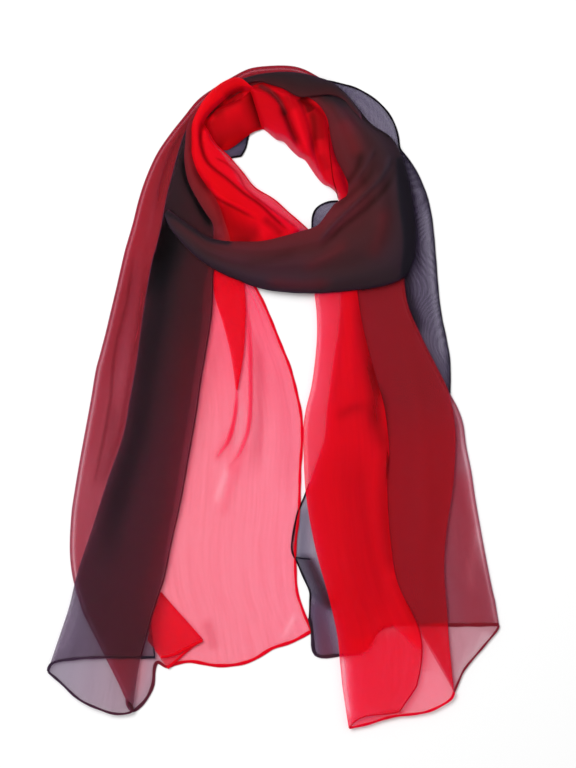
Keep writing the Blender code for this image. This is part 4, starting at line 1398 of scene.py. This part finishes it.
    def build(self) -> list[Piece]:
        """Builds the right end's cloth and hems.

        Returns:
            The pieces, the cloth before its hems.
        """
        back = FoldedCloth(
            "right_back_cloth", (0, 1), self.dyes[:3],
            (self.black_selvage, self.outer_fold, self.pleat_back), self.back_downs,
            (self.hem_back, self.hem_outer), end_reach=60.0, fold_plies=(0.1,),
            rims=(0.7,), spacing=3.4, creases=self.back_creases).cloth()
        front = FoldedCloth(
            "right_front_cloth", (2, 3, 4), self.dyes[2:],
            (self.pleat_front, self.pleat_fold, self.left_fold, self.red_selvage),
            self.front_downs, (self.hem_pleat, self.hem_front, self.hem_top), end_reach=36.0,
            fold_plies=(0.3, 0.1), rims=(0.2, 0.5), holds=(1.0, 3.0, 1.0), spacing=3.4, billow=2,
            creases=self.front_creases).cloth()
        corner = smooth(self.corner)
        corner = np.column_stack([corner, np.full(len(corner), FIRST_LAYER + self.corner_lift),
                                  np.ones(len(corner))])
        hems = sew_hems(
            ("right_black_selvage_hem", DARK_HEM, below(back.line(0), self.black_hem_from),
             Slot.DARK_GREY),
            ("right_black_corner_hem", FINE_HEM, corner, Slot.DARK_GREY),
            ("right_back_end_hem", replace(HEM, half_width=1.7, deep=0.2), back.end(0), Slot.MAROON),
            ("right_outer_end_hem", replace(HEM, deep=0.25), back.end(1), Slot.MAROON),
            ("right_front_end_hem", RED_HEM, front.end(1), Slot.BRIGHT_RED),
            ("right_top_end_hem", replace(FINE_HEM, deep=0.3), front.end(2), Slot.BRIGHT_RED),
            ("right_red_selvage_hem", replace(FINE_HEM, deep=0.5),
             below(front.line(-1), self.red_hem_from), Slot.BRIGHT_RED),
        )
        pieces = [
            dress(back.piece(CHIFFON), Slot.MAROON, "right_tail_back"),
            dress(front.piece(CHIFFON), Slot.BRIGHT_RED, "right_tail_front"),
        ]
        return pieces + hems


@dataclass(frozen=True)
class DarkStretch:
    """One stretch of the dark edge: its rows, and how it is dyed, cut and finished."""

    name: str
    rows: Rows
    dyes: Numbers
    plies: Numbers
    flat: tuple[float, float]    # its cut, in metres
    area: float                  # and the area of that cut, in square metres
    creases: Marks = ()
    finish: ClothFinish = DARK_PLAIN


@dataclass
class DarkEdge:
    """The dark edge of the cloth where it stands out past the turn, and inside the opening."""

    shoulder: Rows = (
        ((324.1, 80.5), (317.7, 91.3)), ((335, 82.5), (328, 98)), ((345, 85), (338, 104)),
        ((355, 88), (346, 110)), ((365, 93), (352, 117)), ((375, 99.7), (358, 124)),
        ((383, 107), (364, 131)), ((390, 116), (369, 137)), ((395, 126), (374, 143)),
        ((398, 137), (379, 148)), ((399.5, 147), (381, 153)), ((402.3, 152.6), (387.8, 158.6)),
    )
    outer_edge: Rows = (
        ((386, 157), (401.8, 151.2), (387, 157)), ((391, 171), (411, 163), (392, 171)),
        ((393, 184), (418, 175), (394, 184)), ((395, 195), (424.5, 190), (396, 195)),
        ((396, 206), (429, 205), (397, 206)), ((397, 222), (432, 222), (398, 222)),
        ((398, 236), (433.7, 238), (399, 236)), ((402, 262), (436, 266), (403, 262)),
        ((402, 291), (438.2, 293), (402, 291)), ((408.5, 315), (441, 315), (408.5, 315)),
        ((419.5, 340), (446, 339), (419.5, 340)), ((430, 361.5), (449.5, 360), (430, 361.5)),
        ((440, 380), (450, 379), (440, 380)), ((447, 393), (449.9, 393), (447, 393)),
    )
    creases: Marks = (
        # More layers along the inner side, with painted shade next to the end's edge.
        Crease(((399, 225), (403, 262), (408, 300), (420, 335)), 7.0, plies=0.9, deep=0.3,
               layer=(0, 1), fade=0.1),
        Crease(((425, 200), (430, 245), (434, 290), (440, 330), (446, 365)), 5.0, plies=-0.35,
               layer=(0, 1), fade=0.1),
        Crease(((404, 165), (412, 200), (417, 240), (419, 280)), 3.0, 0.4, 0.5, layer=(0, 1)),
    )
    upper_tip: Rows = (
        ((219, 138), (250.5, 129)), ((221, 147), (248, 137)), ((226, 154), (245.5, 148)),
        ((231, 157.5), (241, 156)),
    )
    lower_tip: Rows = (
        ((338, 201.2), (346, 207)), ((329, 202), (340, 211)), ((321, 205), (334, 216)),
        ((315.5, 210), (329, 220)), ((312.5, 218), (325, 226)), ((312, 230), (320, 234)),
    )

    def build(self) -> list[Piece]:
        """Builds the four stretches of dark edge and their hems.

        Returns:
            The pieces, the cloth before its hems.
        """
        stretches = (
            DarkStretch("shoulder", self.shoulder, (1.0, 0.93), (2.3, 1.8, 1.65, 1.6),
                        (0.03, 0.12), 0.0026),
            DarkStretch("outer_edge", self.outer_edge, (0.90, 0.985, 0.93),
                        (1.5, 1.1, 1.1, 1.1, 1.1, 1.2), (0.07, 0.26), 0.0125, self.creases, DARK_EDGE),
            DarkStretch("upper_tip", self.upper_tip, (0.90, 1.0), (4.0, 2.6, 2.6),
                        (0.03, 0.03), 0.0005),
            DarkStretch("lower_tip", self.lower_tip, (1.0, 0.92), (1.5, 1.5, 2.2),
                        (0.02, 0.05), 0.0006),
        )
        pieces, hems = [], []
        for part in stretches:
            layers = (0, 1)[:len(part.dyes) - 1]
            cloth = FoldedCloth(f"{part.name}_cloth", layers, part.dyes, turn=part.rows, spacing=1.5,
                                turn_plies=part.plies, creases=part.creases).cloth()
            piece = dress(cloth.piece(part.finish), Slot.DARK_GREY, part.name)
            hem_name = f"{part.name}_hem"
            if part.name == "outer_edge":
                fold = int(np.flatnonzero(cloth.layer == -1)[FOLD_STEPS // 2 - 1])
                rows = [(hem_name, FINE_HEM, cloth.line(fold))]
            elif part.name == "upper_tip":
                rows = [(hem_name, DARK_HEM, cloth.line(-1)),
                        ("upper_tip_end_hem", DARK_HEM, cloth.end(0))]
            else:
                rows = [(hem_name, DARK_HEM, cloth.line(0))]
            sewn = sew_hems(*((*row, Slot.DARK_GREY) for row in rows))
            pieces.append(piece)
            hems += sewn
        return pieces + hems


@dataclass
class FrontBand:
    """The band that crosses in front: down the right side and across to the left."""

    hem_shares: tuple[float, float] = (0.42, 0.80)  # where along the band its hem shows
    arches: Arches = (
        Arch((306, 96), (345, 93), 0.0, 0.6, 1.9), Arch((318, 104), (357, 107), 2.0, 0.6, 1.9),
        Arch((327, 118), (371, 124), 5.0, 0.6, 1.9), Arch((331, 140), (391, 138), 8.5, 0.6, 2.3),
        Arch((336, 158), (402, 158), 10.0, 0.6, 3.2), Arch((343, 172), (409, 183), 11.0, 1.2, 3.2),
        Arch((348, 184), (413.5, 207), 11.0, 3.6, 3.2), Arch((347, 195), (416, 236), 10.5, 5.6, 3.4),
        Arch((341, 200), (413, 262), 9.5, 6.5, 5.0), Arch((334, 205), (401, 279), 9.0, 7.2, 7.1),
        Arch((327, 214), (378, 287), 9.0, 7.2, 7.1), Arch((317, 226), (350, 290.5), 9.0, 7.2, 7.1),
        Arch((302, 231.5), (321, 293), 9.0, 7.2, 7.0), Arch((284, 236.5), (292, 292.5), 9.0, 7.2, 6.8),
        Arch((262, 241.5), (262, 288.5), 8.5, 7.0, 6.4), Arch((240, 242), (237, 279.5), 7.5, 6.6, 6.2),
        Arch((222, 241), (215, 269.5), 6.5, 6.2, 6.0), Arch((207, 236.5), (196, 256.5), 5.5, 6.0, 5.9),
        Arch((191, 226), (180, 240), 4.0, 5.9, 5.8), Arch((177, 216), (170, 227.5), 2.5, 5.8, 5.7),
        Arch((168.5, 209.5), (164.8, 215), 1.0, 5.7, 5.7),
    )
    # Ridges and hollows of the band: painted shade in the hollows, less painted shade along the ridges
    # as a painted highlight.
    creases: Marks = (
        Crease(((393, 152), (383, 176), (362, 198), (331, 228), (318, 244)), 2.2, 2.0, dye=0.07,
               deep=-0.2, fade=0.1),
        Crease(((377, 146), (368, 162), (358, 178), (345, 190)), 2.0, 1.3, dye=0.04, deep=-0.1),
        Crease(((362, 150), (359, 166), (350, 180), (343, 188)), 3.5, -1.2, deep=0.5),
        Crease(((376, 160), (369, 178), (352, 194), (330, 212)), 3.5, -1.2, deep=0.4),
        Crease(((397, 164), (388, 186), (370, 206), (340, 231), (318, 252)), 3.0, -1.5, deep=0.5),
        Patch(((396, 160), (398, 200), (403, 240), (402, 290), (430, 290), (430, 160)), 5.0,
              dye=0.25, deep=0.25),
        Crease(((347, 96), (360, 109), (371, 124), (385, 134), (399, 146)), 3.0, -1.0, deep=0.6),
        Crease(((318, 96), (335, 97), (350, 106)), 7.0, dye=0.1, deep=0.2),
        Crease(((300, 252), (270, 262), (240, 264)), 5.0, -0.8, deep=0.2),
        Crease(((350, 240), (330, 256), (300, 272)), 6.0, 0.8, dye=-0.06),
        Crease(((384, 205), (380, 235), (368, 262)), 8.0, 0.5, dye=-0.07),
        Crease(((340, 118), (352, 140), (358, 160)), 9.0, 0.3, dye=-0.09),
        Crease(((335, 284), (300, 286), (262, 282)), 6.0, dye=-0.12),
        # Painted shade along the band's upper left edge, with the dye moved towards plum.
        Crease(((164, 211), (178, 219), (192, 229), (210, 240), (228, 243)), 3.5, deep=0.3, dye=0.2,
               fade=0.0),
    )

    def build(self) -> list[Piece]:
        """Builds the band and the hem along its lower edge.

        Returns:
            The band and its hem.
        """
        cloth = ArchedCloth("front_band_cloth", self.arches, (0.62, 0.86),
                            creases=self.creases).cloth()
        band = dress(cloth.piece(CHIFFON), Slot.PLUM, "front_band")
        first, last = (round(share * len(cloth.dye)) for share in self.hem_shares)
        edge = cloth.line(-3)[first:last]
        edge[:, 3] = 1.0
        (hem,) = sew_hems(("front_band_hem", FINE_HEM, edge, Slot.DARK_GREY))
        return [band, hem]


@dataclass
class NeckRolls:
    """The rolls at the left of the neck opening, and the collar that shows inside it."""

    dark_roll: Arches = (
        Arch((191.5, 124.5), (187.0, 123.5), 0.4, 5.7, 5.7),
        Arch((190.6, 138), (185.8, 138), 0.9, 5.7, 5.7),
        Arch((190.8, 153), (184.5, 152), 1.8, 5.7, 5.7), Arch((195.4, 173), (187, 173), 2.6, 5.7, 5.7),
        Arch((207.5, 190.5), (192, 190), 3.0, 5.7, 5.7),
        Arch((216.5, 205.5), (199.5, 207), 2.6, 5.7, 5.7),
        Arch((221.3, 221), (208.5, 223), 1.2, 5.7, 5.7), Arch((224, 236), (213.5, 237), 0.0, 4.9, 5.7),
    )
    red_roll: Arches = (
        Arch((264, 93), (263, 87), 0.2, 5.4, 5.4), Arch((249, 89.5), (247, 80.5), 1.2, 5.8, 5.8),
        Arch((238, 90.5), (233.5, 79.2), 2.2, 5.8, 5.8), Arch((228, 97), (220.5, 85.5), 3.6, 5.8, 5.8),
        Arch((216, 107), (208.8, 96), 4.4, 5.8, 5.8), Arch((206.5, 117), (199.5, 109), 4.8, 5.8, 5.8),
        Arch((201.5, 128), (193, 124), 5.0, 5.8, 5.8), Arch((202, 141), (192, 140), 5.4, 5.8, 5.8),
        Arch((206, 157), (193, 157), 6.0, 5.8, 5.8), Arch((217, 171), (198.8, 174), 6.6, 5.8, 5.8),
        Arch((238, 187.5), (209.5, 189), 6.6, 5.8, 5.8), Arch((260, 204), (218.5, 204), 5.4, 5.4, 5.8),
        Arch((277, 219), (223.5, 219.5), 3.2, 4.6, 5.4), Arch((289, 234), (227, 235), 1.6, 3.6, 4.2),
        Arch((300, 252), (229, 252), 1.2, 3.2, 4.0),
    )
    inner_roll: Arches = (
        Arch((208.5, 133), (203.5, 129), 1.0, 4.0, 5.0),
        Arch((214, 143), (203.6, 142.5), 2.5, 3.0, 5.0), Arch((230, 158), (208.4, 158), 3.4, 0.9, 4.6),
        Arch((242, 172), (220, 172.5), 4.2, 0.7, 4.2), Arch((255, 188), (240, 188), 5.0, 0.6, 2.6),
        Arch((273, 199), (262.5, 205), 4.4, 0.6, 1.6), Arch((290, 214), (280, 220), 3.8, 0.6, 1.2),
        Arch((305, 227.5), (291, 236), 3.0, 0.6, 1.0),
    )
    collar: Arches = (
        Arch((217.2, 144.9), (207.7, 123.9), 1.4, 1.6, 5.9),
        Arch((229, 148), (217, 110.5), 1.2, 1.6, 5.9), Arch((241, 140.5), (231, 104.5), 2.0, 1.6, 5.9),
        Arch((252, 132.5), (243, 98), 2.0, 1.6, 5.9), Arch((261.5, 128), (250, 91.5), 1.4, 1.6, 5.9),
    )
    left_rows: Rows = (
        ((258, 99), (257, 91.5)), ((253, 101), (249.5, 86)), ((247, 102), (242, 80)),
        ((240, 104), (233.5, 78.8)), ((231, 107), (220.8, 84.5)), ((222, 112), (209, 95)),
        ((214, 119), (199.8, 108.5)), ((209, 128), (193.3, 124)), ((214, 142), (192, 140)),
        ((230, 158), (193, 156)), ((242, 172), (198.8, 173)), ((255, 188), (209, 189)),
        ((273, 199), (216, 204)), ((290, 214), (221, 219)), ((305, 227), (225, 233)),
        ((318, 240), (228, 250)),
    )
    sheer: Numbers = (0,) * 8 + (1, 5, 8, 11, 13, 12, 9, 7)
    hem_from: float = 134.0      # v from which the roll's selvage shows
    dark_rows: Rows = (
        ((206, 111), (200, 110)), ((200, 120), (191.5, 119)), ((198, 130), (187.5, 129)),
        ((198, 143), (186.2, 143)), ((199, 158), (185.2, 160)), ((205, 175), (188.5, 180)),
        ((213, 190), (196, 196)), ((222, 205), (205, 211)), ((227, 219), (213, 223)),
        ((231, 233), (214.5, 232)), ((233, 248), (214, 243)),
    )
    collar_rows: Rows = (
        ((217, 147), (203, 122)), ((226, 150), (210, 113.5)), ((236, 144.5), (222, 108)),
        ((245, 137.5), (232, 104)), ((254, 131.5), (243, 98)), ((264, 128.5), (252, 91)),
    )
    # Hollows and ridges of the left roll, with painted shade in the hollows.
    left_creases: Marks = (
        # Painted shade in the dark recess between the roll's head and the collar.
        Crease(((246, 92), (240, 92), (233, 94), (225, 100)), 6.0, -0.8, deep=0.34, fade=0.15),
        Crease(((246, 97), (239, 97.5), (231, 101)), 3.5, deep=0.3),
        Crease(((243, 81), (232, 81.5), (222, 87), (212, 95)), 3.0, deep=0.14),
        # Painted shadow along the collar's upper edge, under the roll.
        Crease(((238, 101), (228, 105.5), (218, 111), (210, 118)), 2.4, -0.6, plies=1.5, deep=0.65,
               dye=0.03, fade=0.15),
        Crease(((202, 122), (200.6, 136.5), (202, 149), (207, 162), (216, 171), (227, 179), (244, 194),
                (260, 205), (275, 219), (290, 232)), 1.7, -1.2, deep=0.6, fade=0.1),
        Crease(((196, 176), (207, 190.5), (220, 201), (237, 210), (258, 221)), 1.6, -0.9, deep=0.5),
        # Painted shadow in the dark zone below the roll, next to the band.
        Crease(((214, 204), (222, 216), (232, 228), (248, 235), (264, 236)), 12.0, -0.4, deep=0.5,
               fade=0.15),
        Crease(((193, 170), (201, 186), (211, 200), (219, 222), (223, 240)), 5.0, -0.3, deep=0.35,
               dye=0.04, fade=0.1),
        Crease(((222, 240), (236, 241), (254, 242)), 5.0, deep=0.3),
        # Less painted shade along the ridge: a painted highlight.
        Crease(((211, 188.5), (221, 198), (237.6, 206.5), (258, 217)), 1.2, 0.8, deep=-0.3),
        Crease(((262, 218), (275, 228), (284, 238)), 4.0, -0.8, deep=0.38),
        Crease(((250, 214), (262, 228), (270, 240)), 6.0, 0.8, deep=-0.1),
        Crease(((214, 158), (226, 164), (238, 175), (245, 188), (256, 198), (278, 214), (298, 229)),
               1.3, 0.3, plies=1.5, deep=0.4, fade=0.05),
    )
    dark_creases: Marks = (
        # Painted shade in the hollow beside the red roll.
        Crease(((196, 165), (203, 182), (212, 196)), 5.0, -0.6, deep=0.5, fade=0.3),
    )
    # Painted shade inside the opening: at the collar's ends and along its upper edge under the roll;
    # less across its middle, a painted highlight.
    collar_creases: Marks = (
        Crease(((206, 122), (210, 138), (222, 149)), 7.0, deep=0.3, fade=0.05),
        Crease(((250, 88), (255, 106), (263, 128)), 7.0, -1.2, deep=0.6, fade=0.05),
        Crease(((222, 114), (234, 110), (244, 108)), 9.0, 0.4, deep=-0.18),
        Crease(((212, 117), (221, 110.5), (232, 104.5), (243, 99)), 3.4, deep=0.4, fade=0.1),
        Crease(((214, 138), (230, 136), (248, 128)), 8.0, deep=0.14),
    )

    def build(self) -> list[Piece]:
        """Builds the cloth of the three rolls and the collar.

        Returns:
            The pieces.
        """
        # Painted shade over each cloth: a little on the left roll, most on the collar inside the
        # opening.
        left = SpreadCloth(
            "left_roll_cloth", self.left_rows, Relief((self.red_roll, self.inner_roll)),
            (0.0, 0.05, 0.10, 0.14, 0.20), deep=0.05, inner=Edge(sheer=self.sheer),
            outer=Edge(turned=2.5),
            creases=self.left_creases).cloth()
        dark = SpreadCloth(
            "dark_roll_cloth", self.dark_rows, Relief((self.dark_roll,), base=5.2),
            (0.38, 0.44, 0.49, 0.57), plies=4.0, outer=Edge(turned=2.0),
            creases=self.dark_creases).cloth()
        collar = SpreadCloth(
            "collar_cloth", self.collar_rows, Relief((self.collar,)), (0.18, 0.18), deep=0.34,
            inner=Edge(turned=2.5), outer=Edge(turned=2.5), creases=self.collar_creases).cloth()
        pieces = [
            dress(left.piece(CHIFFON), Slot.BRIGHT_RED, "red_roll", "inner_roll"),
            dress(dark.piece(CHIFFON), Slot.MAROON, "dark_roll"),
            dress(collar.piece(CHIFFON), Slot.DEEP_RED, "collar"),
        ]
        (hem,) = sew_hems(("left_roll_hem", replace(FINE_HEM, deep=0.3),
                           below(left.line(0), self.hem_from), Slot.BRIGHT_RED))
        return [*pieces, hem]


@dataclass
class NeckFolds:
    """Three folds that fan out from the apex down the right of the neck opening."""

    upper: Arches = (
        Arch((250.5, 88), (256.5, 90), 1.2, 6.2, 6.2), Arch((253.5, 97), (267.5, 94), 2.6, 5.2, 6.2),
        Arch((258, 112), (281, 105.4), 4.6, 2.6, 4.0), Arch((264, 127), (287.6, 119.6), 5.0, 0.7, 2.6),
        Arch((274, 137), (293.2, 133.6), 4.4, 0.6, 1.6),
        Arch((287, 144), (299.9, 146.5), 3.4, 0.6, 1.0),
        Arch((297, 153.5), (304.8, 156.7), 2.0, 0.6, 0.6),
    )
    middle: Arches = (
        Arch((274, 90), (286, 94), 1.4, 5.4, 5.4), Arch((280.8, 100), (299, 102), 3.6, 3.4, 3.4),
        Arch((288, 116), (307, 120), 5.4, 2.0, 2.0), Arch((294, 132), (311.5, 137), 6.0, 1.2, 1.2),
        Arch((303, 150), (315, 155), 5.2, 0.6, 0.8), Arch((312, 166), (319.5, 170), 3.4, 0.6, 0.6),
        Arch((319, 179), (323.5, 183), 1.6, 0.6, 0.6),
    )
    lower: Arches = (
        Arch((303.5, 104), (314, 107), 1.6, 2.2, 2.2), Arch((308.5, 120), (325.5, 120), 4.0, 1.4, 1.4),
        Arch((313, 138), (329.5, 140), 5.4, 0.9, 0.9), Arch((317, 155), (334.3, 159), 6.0, 0.7, 0.7),
        Arch((321.5, 170), (341.2, 173), 5.6, 0.6, 0.6),
        Arch((326.5, 184.5), (345.5, 186), 3.4, 0.6, 0.6),
        Arch((336.5, 193), (350, 197), 1.4, 1.0, 1.0), Arch((341.5, 206), (358, 208), 0.6, 1.9, 1.9),
    )
    rows: Rows = (
        ((262.5, 129), (242, 80.5)), ((267, 132), (255, 79.0)), ((276, 139.5), (271, 80)),
        ((284, 142.5), (286, 83)), ((291, 150), (300, 89)), ((298, 156.5), (313, 92)),
        ((305, 160.5), (331, 100)), ((311, 169), (338, 116)), ((316.5, 177), (343, 138)),
        ((323, 184), (348, 156)), ((330, 187.5), (354, 170)), ((336, 193), (359, 182)),
        ((338, 199), (362, 195)), ((342, 209), (363, 210)),
    )
    selvage_points: int = 60
    selvage_lift: float = 0.5    # how far the selvage stands off the folds
    selvage_dye: float = 0.2
    selvage: Path = ((327.5, 112), (329, 145), (331, 165), (333, 180), (336, 190), (338, 198))
    # Hollows of the folds with painted shade, ridges with less painted shade as a painted highlight.
    creases: Marks = (
        Crease(((255, 83.5), (264, 88), (272, 93.5), (279, 101), (284, 111), (287, 120)), 4.0, -1.0,
               plies=1, deep=0.06, dye=0.37, fade=0.12),
        Crease(((259, 81.5), (271, 83.5), (282, 88.5), (289, 96), (293, 108)), 1.8, 1.0, deep=-0.1),
        Crease(((280, 106), (286, 118), (291, 130), (299, 148)), 3.6, -1.2, deep=0.65, fade=0.2),
        Crease(((300, 97), (306, 103), (312, 112)), 4.5, -0.9, deep=0.95, dye=0.1, fade=0.1),
        Crease(((308, 104), (312, 116), (314, 132), (314, 148), (315, 160)), 3.8, -1.1, deep=0.48,
               fade=0.25),
        Crease(((286, 94), (291, 104), (295, 112)), 5.0, deep=0.25),
        Crease(((319, 154), (323, 162), (329, 172)), 5.0, deep=0.22),
        Crease(((290, 100), (297, 118), (303, 138), (309, 156)), 3.0, 0.9, deep=-0.2),
        Crease(((317, 98), (323, 104), (327.5, 112), (330, 136), (333, 152)), 1.5, 0.8, deep=-0.2),
        Crease(((321, 112), (323, 130), (325, 150)), 3.0, deep=0.12),
        Crease(((316, 106), (319, 124), (320, 142)), 6.0, deep=0.34, fade=0.1),
        Crease(((334, 168), (341, 182), (346, 196)), 3.0, 0.3, deep=0.2),
        Crease(((244, 80), (251, 94), (257, 110), (263, 129)), 4.0, 0.4, deep=0.12, fade=0.05),
    )

    def build(self) -> list[Piece]:
        """Builds the cloth of the three folds and the selvage that lies along the last.

        Returns:
            The pieces.
        """
        relief = Relief((self.upper, self.middle, self.lower), blur=1.4)
        # The folds carry painted shade all over.
        cloth = SpreadCloth(
            "neck_folds_cloth", self.rows, relief,
            (0.02, 0.06, 0.10, 0.14), deep=0.24,
            inner=Edge(sheer=(0, 4, 5.5, 6, 7, 5, 5, 6, 5, 3, 2, 2, 2, 2)),
            creases=self.creases).cloth()
        folds = dress(cloth.piece(CHIFFON), Slot.BRIGHT_RED, "upper_fold", "middle_fold",
                      "lower_fold")
        line = smooth(self.selvage)
        line = walk(line, np.linspace(0.0, 1.0, self.selvage_points))
        height = relief.heights(line) + self.selvage_lift
        edge = np.column_stack([line, height, np.full(len(line), self.selvage_dye)])
        seam = replace(FINE_HEM, half_width=0.5, half_height=0.4, deep=0.9)
        (hem,) = sew_hems(("neck_selvage", seam, edge, Slot.BRIGHT_RED))
        return [folds, hem]


@dataclass
class HiddenFolds:
    """The layers that the turn hides, as two rounded forms with a flat underside."""

    band_core: Arches = (
        Arch((342, 134), (366, 136), 6.5), Arch((347, 152), (379, 154), 9.5),
        Arch((355, 170), (385, 174), 11.0), Arch((364, 190), (388, 198), 12.0),
        Arch((364, 210), (390, 232), 13.0), Arch((357, 218), (376, 257), 13.5),
        Arch((343, 224), (356, 261), 13.5), Arch((329, 236), (334, 263), 13.5),
        Arch((309, 243), (311, 263), 13.5), Arch((294, 247), (295, 263), 13.0),
        Arch((276, 249), (276, 263), 12.5), Arch((254, 250), (254, 262), 10.5),
    )
    left_core: Arches = (
        Arch((216, 171), (199.5, 174), 4.4), Arch((235, 189), (202, 194), 4.6),
        Arch((254, 207), (206, 211), 4.2), Arch((266, 221), (207, 226), 3.2),
    )
    spacing: float = 1.6         # distance between sections
    sides: int = 36              # points across a section
    pleats: int = 5
    pleat_depth: float = 0.07

    def form(self, name: str, arches: Arches, dyes: tuple[float, float]) -> Piece:
        """One closed rounded form, pleated lengthwise.

        Args:
            name: The piece's name.
            arches: Its sections.
            dyes: The dye at its inner and outer edge.

        Returns:
            The object.
        """
        rows = np.array([arch.numbers() for arch in arches])
        length = length_of(rows[:, :2])
        rows = glide(rows, max(8, round(length / self.spacing)))
        share = (1 - np.cos(math.pi * np.linspace(0.0, 1.0, self.sides))) / 2
        pleated = 1 - self.pleat_depth * (1 - np.cos(2 * math.pi * self.pleats * share)) / 2
        count = len(rows)
        grid = np.zeros((count, self.sides, 3))
        grid[..., :2] = (rows[:, None, :2] * (1 - share)[:, None]
                         + rows[:, None, 2:4] * share[:, None])
        grid[..., 2] = rows[:, 6, None] * swell_at(share) * pleated
        dye = np.tile(dyes[0] + (dyes[1] - dyes[0]) * share, count)
        along = np.repeat(np.linspace(0.0, length * MM, count), self.sides)
        made = shell_mesh(name, grid.reshape(-1, 3), tube_faces(count, self.sides), dye, along,
                          np.full(dye.size, HIDDEN_PLIES), np.full(dye.size, HIDDEN_PAINTED_SHADE))
        made.data.materials.append(GATHERED.material())
        settle(made)
        return made

    def build(self) -> list[Piece]:
        """Builds both forms.

        Returns:
            The pieces.
        """
        return [
            dress(self.form("band_core_layers", self.band_core, (0.35, 0.75)), Slot.PLUM,
                  "band_core"),
            dress(self.form("left_core_layers", self.left_core, (0.15, 0.40)), Slot.DEEP_RED,
                  "left_core"),
        ]


@dataclass(frozen=True)
class Studio:
    """A white table, soft light from the upper left, and a camera straight above."""

    floor_size: float = 8.0
    floor_drop: float = 0.0004
    white: Colour = (0.82, 0.82, 0.82)
    view_middle: Spot = (288.0, 384.0)
    view_height: float = 0.768
    camera_height: float = 2.4
    sensor: float = 36.0
    sky: float = 0.62
    key_power: float = 160.0
    key_size: float = 2.3
    key_place: tuple[float, float, float] = (-1.84, 1.6, 3.36)
    see_through: int = 48        # how many open weaves a ray of light may pass

    def build(self) -> None:
        """Builds the floor, the lights and the camera, and sets how light is shown."""
        scene = bpy.context.scene
        bpy.ops.mesh.primitive_plane_add(size=self.floor_size, location=(0, 0, -self.floor_drop))
        floor = bpy.context.active_object
        floor.name = "table"
        paint = bpy.data.materials.new("white_table")
        paint.use_nodes = True
        surface = paint.node_tree.nodes["Principled BSDF"].inputs
        surface["Base Color"].default_value = (*self.white, 1.0)
        surface["Roughness"].default_value = 0.9
        surface["Specular IOR Level"].default_value = 0.0
        floor.data.materials.append(paint)

        world = bpy.data.worlds.new("soft_room")
        world.use_nodes = True
        room = world.node_tree.nodes["Background"]
        room.inputs["Color"].default_value = (1.0, 1.0, 1.0, 1.0)
        room.inputs["Strength"].default_value = self.sky
        scene.world = world

        lamp = bpy.data.lights.new("key", "AREA")
        lamp.energy = self.key_power
        lamp.size = self.key_size
        key = bpy.data.objects.new("key", lamp)
        key.location = self.key_place
        key.rotation_euler = (-key.location).to_track_quat("-Z", "Y").to_euler()
        scene.collection.objects.link(key)

        lens = bpy.data.cameras.new("above")
        lens.sensor_fit = "VERTICAL"
        lens.sensor_height = self.sensor
        lens.lens = self.sensor * self.camera_height / self.view_height
        camera = bpy.data.objects.new("above", lens)
        camera.location = ((self.view_middle[0] - PLAN_MIDDLE[0]) * MM,
                           (PLAN_MIDDLE[1] - self.view_middle[1]) * MM, self.camera_height)
        scene.collection.objects.link(camera)
        scene.camera = camera
        scene.view_settings.view_transform = "Standard"
        scene.cycles.transparent_max_bounces = self.see_through


def main() -> None:
    """Builds the studio and every stretch of the scarf."""
    logging.basicConfig(level=logging.INFO, format="%(name)s: %(message)s")
    Studio().build()
    for assembly in (LeftEnd(), RightEnd(), DarkEdge(), FrontBand(), NeckRolls(), NeckFolds(),
                     HiddenFolds()):
        for piece in assembly.build():
            LOG.info("%s: %s, %d faces", type(assembly).__name__, piece.name,
                     len(piece.data.polygons))


if __name__ == "__main__":
    main()
